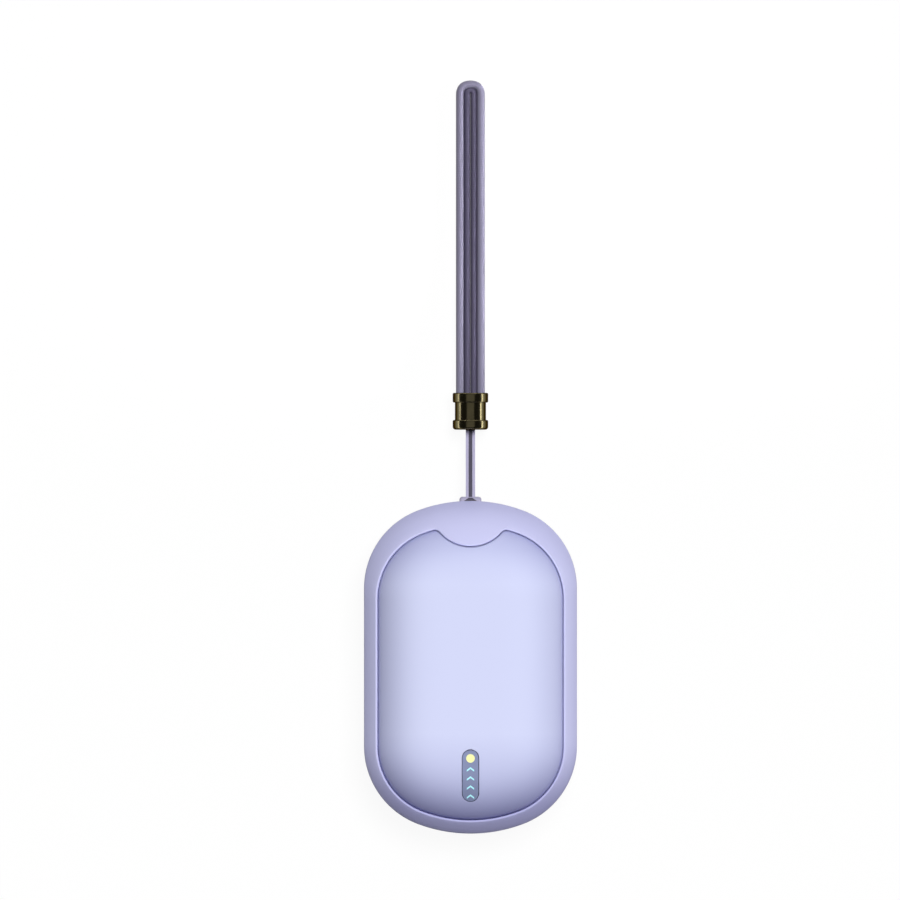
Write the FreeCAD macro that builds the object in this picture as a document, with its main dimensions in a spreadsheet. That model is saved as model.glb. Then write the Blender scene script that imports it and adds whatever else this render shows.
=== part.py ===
import FreeCAD, Part
import math
import os
import re
import Sketcher

# Rechargeable hand warmer with a wrist strap, lying on its back.
# +Z points out of the front panel, +Y runs towards the strap, +X across the body.
# The origin is on the surface that it lies on, under the middle of the body.

SIZES = {
    # Body outline, seen from the front: straight sides, four corner arcs, two end arcs.
    "body_width": 64.0,
    "body_length": 100.0,
    "end_radius": 45.0,
    "corner_radius": 25.0,
    # Section of the two shells.
    "back_depth": 11.0,
    "back_edge_land": 1.5,
    "shell_wall": 1.8,
    "front_wall": 5.5,
    "dome_radius": 30.0,
    "dome_slope": 53.0,
    "rim_width": 4.1,
    "rim_top_extra": 3.2,
    "rim_edge_round": 0.9,
    "seam_round": 0.45,
    "deck_thickness": 1.2,
    # Front panel: a pillow in the rim's pocket, with a scallop at its top end.
    "panel_gap": 0.15,
    "panel_recess": 0.9,
    "panel_dome_radius": 18.0,
    "panel_slope": 55.0,
    "panel_wall": 1.6,
    "panel_skirt": 2.4,
    "panel_edge_round": 0.45,
    "notch_radius": 12.3,
    "notch_depth": 6.4,
    "notch_corner": 2.2,
    "snap_width": 5.0,
    "snap_thickness": 1.1,
    "snap_length": 3.2,
    "snap_end": 33.0,
    "snap_clearance": 0.25,
    # Heat spreader and heater film under the panel.
    "spreader_margin": 8.0,
    "spreader_thickness": 0.8,
    "film_thickness": 0.2,
    "bond_gap": 0.05,
    "key_cutout": 2.2,
    # Heat plate and film under the battery.
    "back_plate_margin": 1.5,
    "back_plate_corner": 4.0,
    "back_film_margin": 1.0,
    "film_tail_width": 6.0,
    "film_tail_across": 7.6,
    "film_tail_reach": 7.9,
    "film_tail_room": 1.5,
    # Battery pouch, its tray and its pads.
    "battery_side": 12.5,
    "battery_end": 31.0,
    "battery_top": 19.0,
    "battery_thickness": 8.5,
    "battery_corner": 2.5,
    "battery_lift": 0.1,
    "battery_flange": 3.0,
    "battery_flange_thickness": 0.6,
    "battery_tab_width": 4.0,
    "battery_tab_length": 1.6,
    "battery_tab_place": 9.0,
    "tray_gap": 0.4,
    "tray_wall": 1.2,
    "tray_height": 5.0,
    "pad_margin": 5.0,
    "pad_gap": 0.1,
    "protection_width": 26.0,
    "protection_length": 2.4,
    "protection_thickness": 0.8,
    # Screws that hold the shells and the board.
    "case_screw_side": 8.8,
    "case_screw_end": 26.0,
    "boss_diameter": 6.4,
    "boss_base": 1.4,
    "case_screw_diameter": 2.0,
    "case_screw_length": 12.0,
    "case_head_diameter": 3.8,
    "case_head_height": 1.4,
    "screw_clearance": 0.15,
    "board_screw_diameter": 1.6,
    "board_screw_length": 4.5,
    "board_head_diameter": 3.0,
    "board_head_height": 1.1,
    "board_screw_across": 12.0,
    "board_screw_edge": 2.3,
    "board_post_diameter": 4.6,
    # Circuit board and what is soldered to it.
    "board_width": 30.0,
    "board_end": 4.5,
    "board_bay": 8.4,
    "board_chamfer": 5.0,
    "board_thickness": 1.2,
    "switch_width": 6.0,
    "switch_height": 2.2,
    "plunger_diameter": 3.4,
    "plunger_height": 1.4,
    "plunger_depth": 0.8,
    "plunger_clearance": 0.05,
    "led_length": 1.6,
    "led_width": 0.8,
    "led_height": 0.6,
    "led_across": 4.6,
    "controller_width": 5.0,
    "controller_height": 0.9,
    "controller_across": 9.5,
    "controller_end": 14.0,
    "inductor_width": 4.2,
    "inductor_height": 2.0,
    "inductor_across": 9.5,
    "inductor_end": 13.5,
    "thermistor_diameter": 1.6,
    "thermistor_across": 9.0,
    "thermistor_along": 6.0,
    # Charging socket in the lower end.
    "socket_width": 8.94,
    "socket_height": 3.26,
    "socket_depth": 7.35,
    "socket_wall": 0.3,
    "socket_back": 0.4,
    "socket_inset": 0.3,
    "socket_clearance": 0.2,
    "tongue_width": 6.65,
    "tongue_depth": 4.6,
    "tongue_thickness": 0.7,
    # Key with its indicator lights.
    "key_length": 15.4,
    "key_width": 4.8,
    "key_end": 17.5,
    "key_gap": 0.2,
    "key_recess": 0.25,
    "key_depth": 5.4,
    "key_flange": 1.0,
    "key_flange_thickness": 0.8,
    "key_travel": 0.4,
    "key_lift": 0.1,
    "stem_diameter": 2.6,
    "window_margin": 3.4,
    "inlay_depth": 0.6,
    "dot_diameter": 2.6,
    "dot_place": 5.2,
    "chevron_half_width": 1.1,
    "chevron_height": 0.8,
    "chevron_stroke": 0.55,
    "chevron_pitch": 2.73,
    "chevron_first": 1.9,
    # Strap anchor in the upper end.
    "pin_diameter": 1.2,
    "pin_length": 9.4,
    "pin_inset": 1.33,
    "pin_drop": 2.9,
    "pin_clearance": 0.04,
    "barrel_diameter": 5.16,
    "barrel_width": 6.6,
    "barrel_round": 0.9,
    "slot_clearance": 0.3,
    "block_width": 10.6,
    "block_front": 1.6,
    "block_back": 5.6,
    "block_base": 4.4,
    "keeper_width": 0.8,
    # Link between the body and the ferrule: pale edges on a dark core.
    "link_width": 2.8,
    "link_edge": 0.85,
    "link_thickness": 1.6,
    "core_recess": 0.2,
    "core_foot_width": 4.4,
    "core_foot_height": 1.15,
    # Ferrule.
    "ferrule_length": 11.1,
    "ferrule_reach": 21.4,
    "ferrule_flange_diameter": 10.7,
    "ferrule_flange_height": 2.95,
    "ferrule_neck_diameter": 9.36,
    "ferrule_bore": 8.82,
    "ferrule_end_wall": 0.9,
    "ferrule_mouth": 3.6,
    "ferrule_round": 0.45,
    "ferrule_end_round": 0.9,
    "plug_clearance": 0.03,
    "plug_length": 4.25,
    "plug_socket": 3.2,
    # Wrist strap and its lining.
    "strap_diameter": 2.4,
    "strap_spacing": 6.3,
    "lining_thickness": 1.72,
    "lining_depth": 1.3,
    "lining_spacing": 2.04,
    # Leads inside the body.
    "lead_diameter": 1.0,
    "lead_spacing": 1.6,
    # How far a cutting tool runs past what it cuts.
    "overrun": 1.0,
}

# Centre lines of the soft pieces, chosen by hand: places beyond the body's upper end, and heights.
LINK_ROUTE = [(0.9, 8.05), (10.0, 7.1), (18.2, 5.35), (25.4, 5.35)]
STRAP_ROUTE = [(26.6, 5.35), (36.5, 5.3), (48.0, 3.8), (62.0, 1.85), (85.0, 1.2), (125.3, 1.2)]
# Leads, as places across, along and up: along from the battery's lower end or from the key's middle,
# up from what they leave for the first places, and from the board for the last.
BATTERY_LEAD_ROUTE = ([(-7.6, -3.0, 0.55), (-7.6, -5.0, 0.95)],
                      [(-7.6, -6.8, 1.33), (-7.6, -9.2, 1.53), (-7.6, -11.6, 0.55)])
BACK_HEATER_LEAD_ROUTE = ([(7.6, -3.4, 0.55), (7.6, -5.6, 0.8)],
                          [(7.6, -8.0, -2.97), (7.6, -10.2, -1.07), (7.6, -12.6, -0.55)])
FRONT_HEATER_LEAD_ROUTE = ([(5.0, 11.9, -0.55), (5.0, 8.9, -1.16), (5.0, 7.0, -4.46)],
                           [(5.0, 6.6, 6.23), (5.0, 5.7, 2.63), (5.0, 3.7, 0.73), (5.0, 1.3, 0.55)])
# Part of a run that each rounded corner takes up.
ARC_SHARE = 0.45

doc = FreeCAD.newDocument("hand_warmer")
sheet = doc.addObject("Spreadsheet::Sheet", "dims")
for row, (size_name, size_value) in enumerate(SIZES.items(), start=1):
    sheet.set(f"A{row}", size_name)
    sheet.set(f"B{row}", str(size_value))
    sheet.setAlias(f"B{row}", size_name)
doc.recompute()

X_AXIS = FreeCAD.Vector(1, 0, 0)
Y_AXIS = FreeCAD.Vector(0, 1, 0)
Z_AXIS = FreeCAD.Vector(0, 0, 1)
DIAGONAL = FreeCAD.Vector(1, 1, 1)
LEVEL = FreeCAD.Rotation()
ALONG_X = FreeCAD.Rotation(Y_AXIS, 90)
# Long axis of a sketched pill across the body, its depth along the body.
ACROSS_BODY = FreeCAD.Rotation(DIAGONAL, -120)


def bound(text):
    """The expression with each named size pointing at its cell."""
    return re.sub(r"[a-z]\w*", lambda word: ("dims." if word.group() in SIZES else "") + word.group(), text)


def value(text):
    """The number that an expression of named sizes has now."""
    result = sheet.evalExpression(bound(text))
    return float(getattr(result, "Value", result))


def bind(thing, **properties):
    """Tie properties of an object to expressions of named sizes."""
    for name, text in properties.items():
        thing.setExpression(name, bound(text))
    return thing


def place(thing, x="0", y="0", z="0", rotation=LEVEL):
    """Put an object at a place given by expressions."""
    thing.Placement = FreeCAD.Placement(FreeCAD.Vector(), rotation)
    for axis, text in zip("xyz", (x, y, z)):
        thing.setExpression("Placement.Base." + axis, bound(text))
    return thing


def plane(body, role):
    return next(feature for feature in body.Origin.OriginFeatures if feature.Role == role)


def new_body(name):
    return doc.addObject("PartDesign::Body", name)


def new_sketch(body, name, height="0", shift="0"):
    """A sketch parallel to the body's XY plane, raised and moved along Y."""
    sketch = body.newObject("Sketcher::SketchObject", name)
    sketch.AttachmentSupport = [(plane(body, "XY_Plane"), "")]
    sketch.MapMode = "FlatFace"
    sketch.setExpression("AttachmentOffset.Base.y", bound(shift))
    sketch.setExpression("AttachmentOffset.Base.z", bound(height))
    return sketch


def dimension(sketch, text, kind, *where):
    """Add one sketch dimension and tie it to an expression."""
    index = sketch.addConstraint(Sketcher.Constraint(kind, *where, value(text)))
    sketch.setExpression(f"Constraints[{index}]", bound(text))


def coordinate(sketch, kind, axis, geometry, point, text):
    """Dimension a point from the sketch's origin, whichever side it lies on."""
    if text == "0":
        sketch.addConstraint(Sketcher.Constraint("PointOnObject", geometry, point, axis))
    elif value(text) > 0:
        dimension(sketch, text, kind, -1, 1, geometry, point)
    else:
        dimension(sketch, f"-({text})", kind, geometry, point, -1, 1)


def fix_point(sketch, geometry, point, x, y):
    coordinate(sketch, "DistanceX", -2, geometry, point, x)
    coordinate(sketch, "DistanceY", -1, geometry, point, y)


def arc(x, y, radius, start, end):
    return Part.ArcOfCircle(Part.Circle(FreeCAD.Vector(x, y, 0), Z_AXIS, radius), start, end)


def line(start, end):
    return Part.LineSegment(FreeCAD.Vector(*start, 0), FreeCAD.Vector(*end, 0))


def polygon(sketch, points):
    """A closed outline of straight sides through points given as expressions."""
    first = sketch.GeometryCount
    corners = [(value(x), value(y)) for x, y in points]
    count = len(corners)
    for index in range(count):
        sketch.addGeometry(line(corners[index], corners[(index + 1) % count]), False)
    for index in range(count):
        following = first + (index + 1) % count
        sketch.addConstraint(Sketcher.Constraint("Coincident", first + index, 2, following, 1))
    for index, (x, y) in enumerate(points):
        fix_point(sketch, first + index, 1, x, y)


def rectangle(sketch, width, length, x="0", y="0"):
    left, right = f"{x} - ({width}) / 2", f"{x} + ({width}) / 2"
    low, high = f"{y} - ({length}) / 2", f"{y} + ({length}) / 2"
    polygon(sketch, [(left, low), (right, low), (right, high), (left, high)])


def circle(sketch, diameter, x="0", y="0"):
    centre = FreeCAD.Vector(value(x), value(y), 0)
    index = sketch.addGeometry(Part.Circle(centre, Z_AXIS, value(diameter) / 2), False)
    dimension(sketch, diameter, "Diameter", index)
    fix_point(sketch, index, 3, x, y)


def pill_outline(sketch, width, length):
    """Two half circles joined by straight sides, with its length along Y."""
    radius = value(width) / 2
    reach = value(length) / 2 - radius
    sketch.addGeometry([
        arc(0, reach, radius, 0, math.pi),
        line((-radius, reach), (-radius, -reach)),
        arc(0, -reach, radius, math.pi, 2 * math.pi),
        line((radius, -reach), (radius, reach)),
    ], False)
    for index in range(4):
        sketch.addConstraint(Sketcher.Constraint("Tangent", index, 2, (index + 1) % 4, 1))
    sketch.addConstraint(Sketcher.Constraint("Equal", 0, 2))
    dimension(sketch, f"({width}) / 2", "Radius", 0)
    for index, side in ((0, ""), (2, "-")):
        fix_point(sketch, index, 3, "0", f"{side}(({length}) - ({width})) / 2")


def oval_frame(length, inset):
    """Half width, end-arc centre, end radius and corner radius of the outline, drawn in by an inset."""
    return (f"body_width / 2 - ({inset})", f"(({length}) / 2 - end_radius)",
            f"end_radius - ({inset})", f"corner_radius - ({inset})")


def oval_numbers(frame):
    half_width, centre, end, corner = (value(text) for text in frame)
    rise = math.sqrt((end - corner) ** 2 - (half_width - corner) ** 2)
    return half_width, centre, end, corner, centre + rise, math.atan2(rise, half_width - corner)


def oval_outline(sketch, length, inset):
    """The body's outline at some inset: sides, corner arcs and end arcs, all tangent."""
    frame = oval_frame(length, inset)
    half_width, centre, end, corner, spring, turn = oval_numbers(frame)
    side = half_width - corner
    sketch.addGeometry([
        line((half_width, -spring), (half_width, spring)),
        arc(side, spring, corner, 0, turn),
        arc(0, centre, end, turn, math.pi - turn),
        arc(-side, spring, corner, math.pi - turn, math.pi),
        line((-half_width, spring), (-half_width, -spring)),
        arc(-side, -spring, corner, math.pi, math.pi + turn),
        arc(0, -centre, end, math.pi + turn, 2 * math.pi - turn),
        arc(side, -spring, corner, 2 * math.pi - turn, 2 * math.pi),
    ], False)
    for index in range(8):
        sketch.addConstraint(Sketcher.Constraint("Tangent", index, 2, (index + 1) % 8, 1))
    finish_oval(sketch, frame, sides=(0, 4), corners=(1, 3, 5, 7), ends=(2, 6))


def finish_oval(sketch, frame, sides, corners, ends):
    """Size the sides, corner arcs and end arcs of an oval outline."""
    half_width, centre, end, corner = frame
    for index, sign in zip(sides, ("", "-")):
        sketch.addConstraint(Sketcher.Constraint("Vertical", index))
        coordinate(sketch, "DistanceX", -2, index, 2, f"{sign}({half_width})")
    for index in corners[1:]:
        sketch.addConstraint(Sketcher.Constraint("Equal", corners[0], index))
    dimension(sketch, corner, "Radius", corners[0])
    sketch.addConstraint(Sketcher.Constraint("Equal", ends[0], ends[1]))
    dimension(sketch, end, "Radius", ends[0])
    for index, sign in zip(ends, ("", "-")):
        fix_point(sketch, index, 3, "0", f"{sign}({centre})")


def scalloped_outline(sketch, inset):
    """The panel's outline: the same oval with a round scallop in its top end and eased corners."""
    frame = oval_frame(PANEL_LENGTH, inset)
    half_width, centre, end, corner, spring, turn = oval_numbers(frame)
    grown = f"({inset}) - rim_width"
    bite, ease = f"notch_radius + {grown}", f"notch_corner - ({grown})"
    bite_centre = f"({PANEL_LENGTH}) / 2 - rim_width - notch_depth + notch_radius"
    bite_y, bite_radius, ease_radius = value(bite_centre), value(bite), value(ease)
    # The eased corner touches the end arc from inside and the scallop from outside.
    apart = bite_y - centre
    along = ((end - ease_radius) ** 2 - (bite_radius + ease_radius) ** 2 + apart ** 2) / (2 * apart)
    ease_x, ease_y = math.sqrt((end - ease_radius) ** 2 - along ** 2), centre + along
    outer = math.atan2(ease_y - centre, ease_x)
    inner = math.atan2(bite_y - ease_y, -ease_x)
    bite_end = math.atan2(ease_y - bite_y, ease_x)
    side = half_width - corner
    sketch.addGeometry([
        line((half_width, -spring), (half_width, spring)),
        arc(side, spring, corner, 0, turn),
        arc(0, centre, end, turn, outer),
        arc(ease_x, ease_y, ease_radius, outer, inner),
        arc(0, bite_y, bite_radius, -math.pi - bite_end, bite_end),
        arc(-ease_x, ease_y, ease_radius, math.pi - inner, math.pi - outer),
        arc(0, centre, end, math.pi - outer, math.pi - turn),
        arc(-side, spring, corner, math.pi - turn, math.pi),
        line((-half_width, spring), (-half_width, -spring)),
        arc(-side, -spring, corner, math.pi, math.pi + turn),
        arc(0, -centre, end, math.pi + turn, 2 * math.pi - turn),
        arc(side, -spring, corner, 2 * math.pi - turn, 2 * math.pi),
    ], False)
    for index in range(12):
        leaving, entering = (1 if index == 4 else 2), (2 if index == 3 else 1)
        sketch.addConstraint(Sketcher.Constraint("Tangent", index, leaving, (index + 1) % 12, entering))
    finish_oval(sketch, frame, sides=(0, 8), corners=(1, 7, 9, 11), ends=(2, 10))
    sketch.addConstraint(Sketcher.Constraint("Coincident", 2, 3, 6, 3))
    sketch.addConstraint(Sketcher.Constraint("Equal", 2, 6))
    sketch.addConstraint(Sketcher.Constraint("Equal", 3, 5))
    dimension(sketch, ease, "Radius", 3)
    dimension(sketch, bite, "Radius", 4)
    fix_point(sketch, 4, 3, "0", bite_centre)


def edges_where(shape, test):
    return [f"Edge{index}" for index, edge in enumerate(shape.Edges, start=1) if test(edge)]


def faces_where(shape, test):
    return [f"Face{index}" for index, face in enumerate(shape.Faces, start=1) if test(face)]


def level_at(height):
    """A test for edges that lie flat at a height."""
    return lambda edge: all(abs(point.z - height) < NEAR for point in edge.discretize(3))


def pad(body, sketch, length):
    feature = body.newObject("PartDesign::Pad", sketch.Name + "_pad")
    feature.Profile = sketch
    bind(feature, Length=length)
    doc.recompute()
    return feature


def round_edges(body, base, name, radius, test):
    feature = body.newObject("PartDesign::Fillet", name)
    feature.Base = (base, edges_where(base.Shape, test))
    bind(feature, Radius=radius)
    doc.recompute()
    return feature


def prism(name, length, inset, bottom, top):
    """An upright block of the oval outline between two heights."""
    body = new_body(name)
    sketch = new_sketch(body, name + "_outline", bottom, shift_of(length))
    oval_outline(sketch, length, inset)
    pad(body, sketch, f"({top}) - ({bottom})")
    return body


def shift_of(length):
    """Ovals that are shorter than the body lose their length at the strap end."""
    return f"(({length}) - body_length) / 2"


def dome(name, inset, radius, top):
    """A block over the panel's oval whose top edge is rolled over with a large radius."""
    body = prism(name, PANEL_LENGTH, inset, f"({top}) - ({radius}) - overrun", top)
    round_edges(body, body.Tip, name + "_roll", radius, level_at(value(top)))
    return body


def scalloped_prism(name, inset, bottom, top):
    body = new_body(name)
    sketch = new_sketch(body, name + "_outline", bottom, shift_of(PANEL_LENGTH))
    scalloped_outline(sketch, inset)
    pad(body, sketch, f"({top}) - ({bottom})")
    return body


def pill(name, width, length, depth):
    body = new_body(name)
    sketch = new_sketch(body, name + "_outline")
    pill_outline(sketch, width, length)
    pad(body, sketch, depth)
    return body


def plate(name, width, length, thickness, corner="0"):
    """A flat rectangular piece, centred in plan, with its upright edges rounded."""
    body = new_body(name)
    sketch = new_sketch(body, name + "_outline")
    rectangle(sketch, width, length)
    base = pad(body, sketch, thickness)
    if corner != "0":
        round_edges(body, base, name + "_corners", corner, is_upright)
    return body


def is_upright(edge):
    direction = edge.tangentAt(edge.FirstParameter)
    return abs(direction.z) > 1 - NEAR


def is_wall(face):
    """A test for faces that stand upright all over."""
    low_u, high_u, low_v, high_v = face.ParameterRange
    corners = [(u, v) for u in (low_u, high_u) for v in (low_v, high_v)]
    return all(abs(face.normalAt(u, v).z) < NEAR for u, v in corners)


def crest(shape, height):
    """A test for edges above a height where an upright wall ends."""
    found = [edge for face in shape.Faces if is_wall(face) for edge in face.Edges
             if not is_upright(edge) and edge.CenterOfMass.z > height]
    return lambda edge: any(edge.isSame(other) for other in found)


def box(name, width, length, height):
    return bind(doc.addObject("Part::Box", name), Length=width, Width=length, Height=height)


def cylinder(name, diameter, length):
    return bind(doc.addObject("Part::Cylinder", name), Radius=f"({diameter}) / 2", Height=length)


def cut(name, base, *tools):
    """Take tools away from a base, one boolean for all of them."""
    tool = tools[0] if len(tools) == 1 else fuse(name + "_tools", *tools)
    feature = doc.addObject("Part::Cut", name)
    feature.Base, feature.Tool = base, tool
    doc.recompute()
    return feature


def fuse(name, *shapes):
    feature = doc.addObject("Part::MultiFuse", name)
    feature.Shapes = list(shapes)
    doc.recompute()
    return feature


def common(name, *shapes):
    feature = doc.addObject("Part::MultiCommon", name)
    feature.Shapes = list(shapes)
    doc.recompute()
    return feature


def group(name, shapes):
    feature = doc.addObject("Part::Compound", name)
    feature.Links = list(shapes)
    doc.recompute()
    return feature


def rolled(name, base, radius, test):
    """Round chosen edges of a finished solid."""
    feature = doc.addObject("Part::Fillet", name)
    feature.Base = base
    size = value(radius)
    chosen = [index for index, edge in enumerate(base.Shape.Edges, start=1) if test(edge)]
    feature.Edges = [(index, size, size) for index in chosen]
    doc.recompute()
    return feature


nodes = []


def keep(label, thing):
    """Name a finished sub-part."""
    thing.Label = label
    nodes.append(thing)
    doc.recompute()
    return thing


NEAR = 1e-4
PANEL_LENGTH = "body_length - rim_top_extra"

# Heights of the front: the rim's outer edge, the seam, the panel and the deck under it.
EDGE = "(back_depth + front_wall)"
DOME_INSET = "-dome_radius * (1 - sin(dome_slope))"
DOME_TOP = f"({EDGE} + dome_radius * (1 - cos(dome_slope)))"
SEAM_COSINE = "sqrt(1 - (sin(dome_slope) - rim_width / dome_radius)^2)"
SEAM = f"({EDGE} + dome_radius * ({SEAM_COSINE} - cos(dome_slope)))"
PANEL_EDGE = f"({SEAM} - panel_recess)"
PANEL_SIDE = "(rim_width + panel_gap)"
PANEL_INSET = f"{PANEL_SIDE} - panel_dome_radius * (1 - sin(panel_slope))"
PANEL_TOP = f"({PANEL_EDGE} + panel_dome_radius * (1 - cos(panel_slope)))"
DECK_TOP = f"({PANEL_EDGE} - panel_skirt)"
DECK_BOTTOM = f"({DECK_TOP} - deck_thickness)"
ABOVE = f"({DOME_TOP} + overrun)"
NOTCH_Y = "(body_length / 2 - rim_top_extra - rim_width - notch_depth + notch_radius)"
KEY_Y = "(key_end - body_length / 2)"

# Places of the inside, seen from the front.
BATTERY_WIDTH = "(body_width - 2 * battery_side)"
BATTERY_LENGTH = "(body_length - battery_end - battery_top)"
BATTERY_LOW = "(battery_end - body_length / 2)"
BATTERY_Y = "((battery_end - battery_top) / 2)"
BOARD_LOW = "(board_end - body_length / 2)"
BOARD_HIGH = f"({BATTERY_LOW} - board_bay)"
BOARD_SCREW_Y = f"({BOARD_HIGH} - board_screw_edge)"
CASE_SCREW_X = "(body_width / 2 - case_screw_side)"
CASE_SCREW_Y = "(body_length / 2 - case_screw_end)"

# Heights of the inside.
FLOOR = "shell_wall"
BACK_FILM = "(shell_wall + spreader_thickness)"
BATTERY_BOTTOM = f"({BACK_FILM} + film_thickness + battery_lift)"
BATTERY_TOP = f"({BATTERY_BOTTOM} + battery_thickness)"
BOARD_TOP = "(back_depth - socket_height / 2)"
BOARD_BOTTOM = f"({BOARD_TOP} - board_thickness)"
SWITCH_TOP = f"({BOARD_TOP} + switch_height)"
PLUNGER_TOP = f"({SWITCH_TOP} + plunger_height)"
KEY_BASE = f"({PANEL_TOP} - key_depth)"
PIN_Y = "(body_length / 2 - pin_inset)"
PIN_HEIGHT = "(back_depth - pin_drop)"
BATTERY_MIDDLE = f"({BATTERY_BOTTOM} + battery_thickness / 2)"
STRIP_TOP = f"({BATTERY_MIDDLE} + battery_flange_thickness / 2 + protection_thickness)"
BACK_FILM_TOP = f"({BACK_FILM} + film_thickness)"
FRONT_FILM_UNDER = f"({PANEL_TOP} - panel_wall - bond_gap - spreader_thickness - film_thickness)"
CASE_SCREWS = [(x, y) for x in (-1, 1) for y in (-1, 1)]


def panel_dome(name, depth):
    """The panel's crown, sunk by some depth below its outer face."""
    return dome(name, f"{PANEL_INSET} + {depth}", f"panel_dome_radius - ({depth})",
                f"{PANEL_TOP} - ({depth})")


def at_case_screws(name, diameter, bottom, top):
    """One cylinder at each of the four case screws."""
    posts = []
    for index, (across, along) in enumerate(CASE_SCREWS, start=1):
        post = cylinder(f"{name}_{index}", diameter, f"({top}) - ({bottom})")
        posts.append(place(post, f"{across} * {CASE_SCREW_X}", f"{along} * {CASE_SCREW_Y}", bottom))
    return posts


def at_board_screws(name, diameter, bottom, top):
    posts = []
    for index, across in enumerate((-1, 1), start=1):
        post = cylinder(f"{name}_{index}", diameter, f"({top}) - ({bottom})")
        posts.append(place(post, f"{across} * board_screw_across", BOARD_SCREW_Y, bottom))
    return posts


def socket_window():
    """The opening for the charging socket, half in each shell."""
    window = pill("socket_window", "socket_height + 2 * socket_clearance",
                  "socket_width + 2 * socket_clearance", "socket_depth + overrun")
    return place(window, "0", "-body_length / 2 - overrun", "back_depth", ACROSS_BODY)


def back_shell(window):
    """Moulded tray with a rolled edge, screw bosses, battery tray, board posts and the strap anchor."""
    body = new_body("tray")
    outline = new_sketch(body, "tray_outline")
    oval_outline(outline, "body_length", "0")
    block = pad(body, outline, "back_depth")
    rolled_block = round_edges(body, block, "tray_roll", "back_depth - back_edge_land", level_at(0))
    hollow = body.newObject("PartDesign::Thickness", "tray_hollow")
    brim = value("back_depth") - NEAR
    hollow.Base = (rolled_block, faces_where(rolled_block.Shape, lambda face: face.CenterOfMass.z > brim))
    hollow.Reversed = True
    bind(hollow, Value="shell_wall")
    doc.recompute()

    bosses = new_sketch(body, "bosses", "boss_base")
    for across, along in CASE_SCREWS:
        circle(bosses, "boss_diameter", f"{across} * {CASE_SCREW_X}", f"{along} * {CASE_SCREW_Y}")
    pad(body, bosses, "back_depth - boss_base")
    cradle = new_sketch(body, "battery_tray", FLOOR)
    inner = (f"{BATTERY_WIDTH} + 2 * tray_gap", f"{BATTERY_LENGTH} + 2 * tray_gap")
    rectangle(cradle, *inner, y=BATTERY_Y)
    rectangle(cradle, *(f"{size} + 2 * tray_wall" for size in inner), y=BATTERY_Y)
    pad(body, cradle, "tray_height")
    posts = new_sketch(body, "board_posts", FLOOR)
    for across in (-1, 1):
        circle(posts, "board_post_diameter", f"{across} * board_screw_across", BOARD_SCREW_Y)
    pad(body, posts, f"{BOARD_BOTTOM} - {FLOOR}")
    anchor = new_sketch(body, "anchor_block", "block_base")
    rectangle(anchor, "block_width", "block_back - block_front",
              y="body_length / 2 - (block_front + block_back) / 2")
    pad(body, anchor, "back_depth - block_base")

    pilot = "case_screw_diameter - 2 * screw_clearance"
    screw_tip = f"{DECK_TOP} - case_screw_length - overrun"
    pilots = at_case_screws("boss_pilot", pilot, screw_tip, "back_depth + overrun")
    board_pilots = at_board_screws("post_pilot", "board_screw_diameter - 2 * screw_clearance",
                                   f"{BOARD_TOP} - board_screw_length - overrun", BOARD_BOTTOM)
    tail_gap = box("film_tail_gap", "film_tail_width + 2 * film_tail_room", "tray_wall + 2 * overrun",
                   "spreader_thickness + film_thickness + film_tail_room")
    place(tail_gap, "film_tail_across - film_tail_width / 2 - film_tail_room",
          f"{BATTERY_LOW} - tray_gap - tray_wall - overrun", FLOOR)
    shell = cut("back_shell_solid", body, window, tail_gap, *anchor_slot(), *pilots, *board_pilots)
    return keep("back_shell", shell)


def anchor_slot():
    """Room for the link's barrel in the upper end, and grooves where the pin drops in from above."""
    width = "barrel_width + 2 * slot_clearance"
    reach = "(barrel_diameter / 2 + slot_clearance)"
    slot = box("barrel_slot", width, f"{reach} + pin_inset + overrun", f"pin_drop + {reach} + overrun")
    place(slot, f"-({width}) / 2", f"{PIN_Y} - {reach}", f"{PIN_HEIGHT} - {reach}")
    length, groove = "pin_length + 2 * pin_clearance", "(pin_diameter + 2 * pin_clearance)"
    bottom = cylinder("pin_groove_bottom", groove, length)
    place(bottom, f"-({length}) / 2", PIN_Y, PIN_HEIGHT, ALONG_X)
    top = box("pin_groove_top", length, groove, "pin_drop + overrun")
    place(top, f"-({length}) / 2", f"{PIN_Y} - {groove} / 2", PIN_HEIGHT)
    return slot, bottom, top


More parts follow.
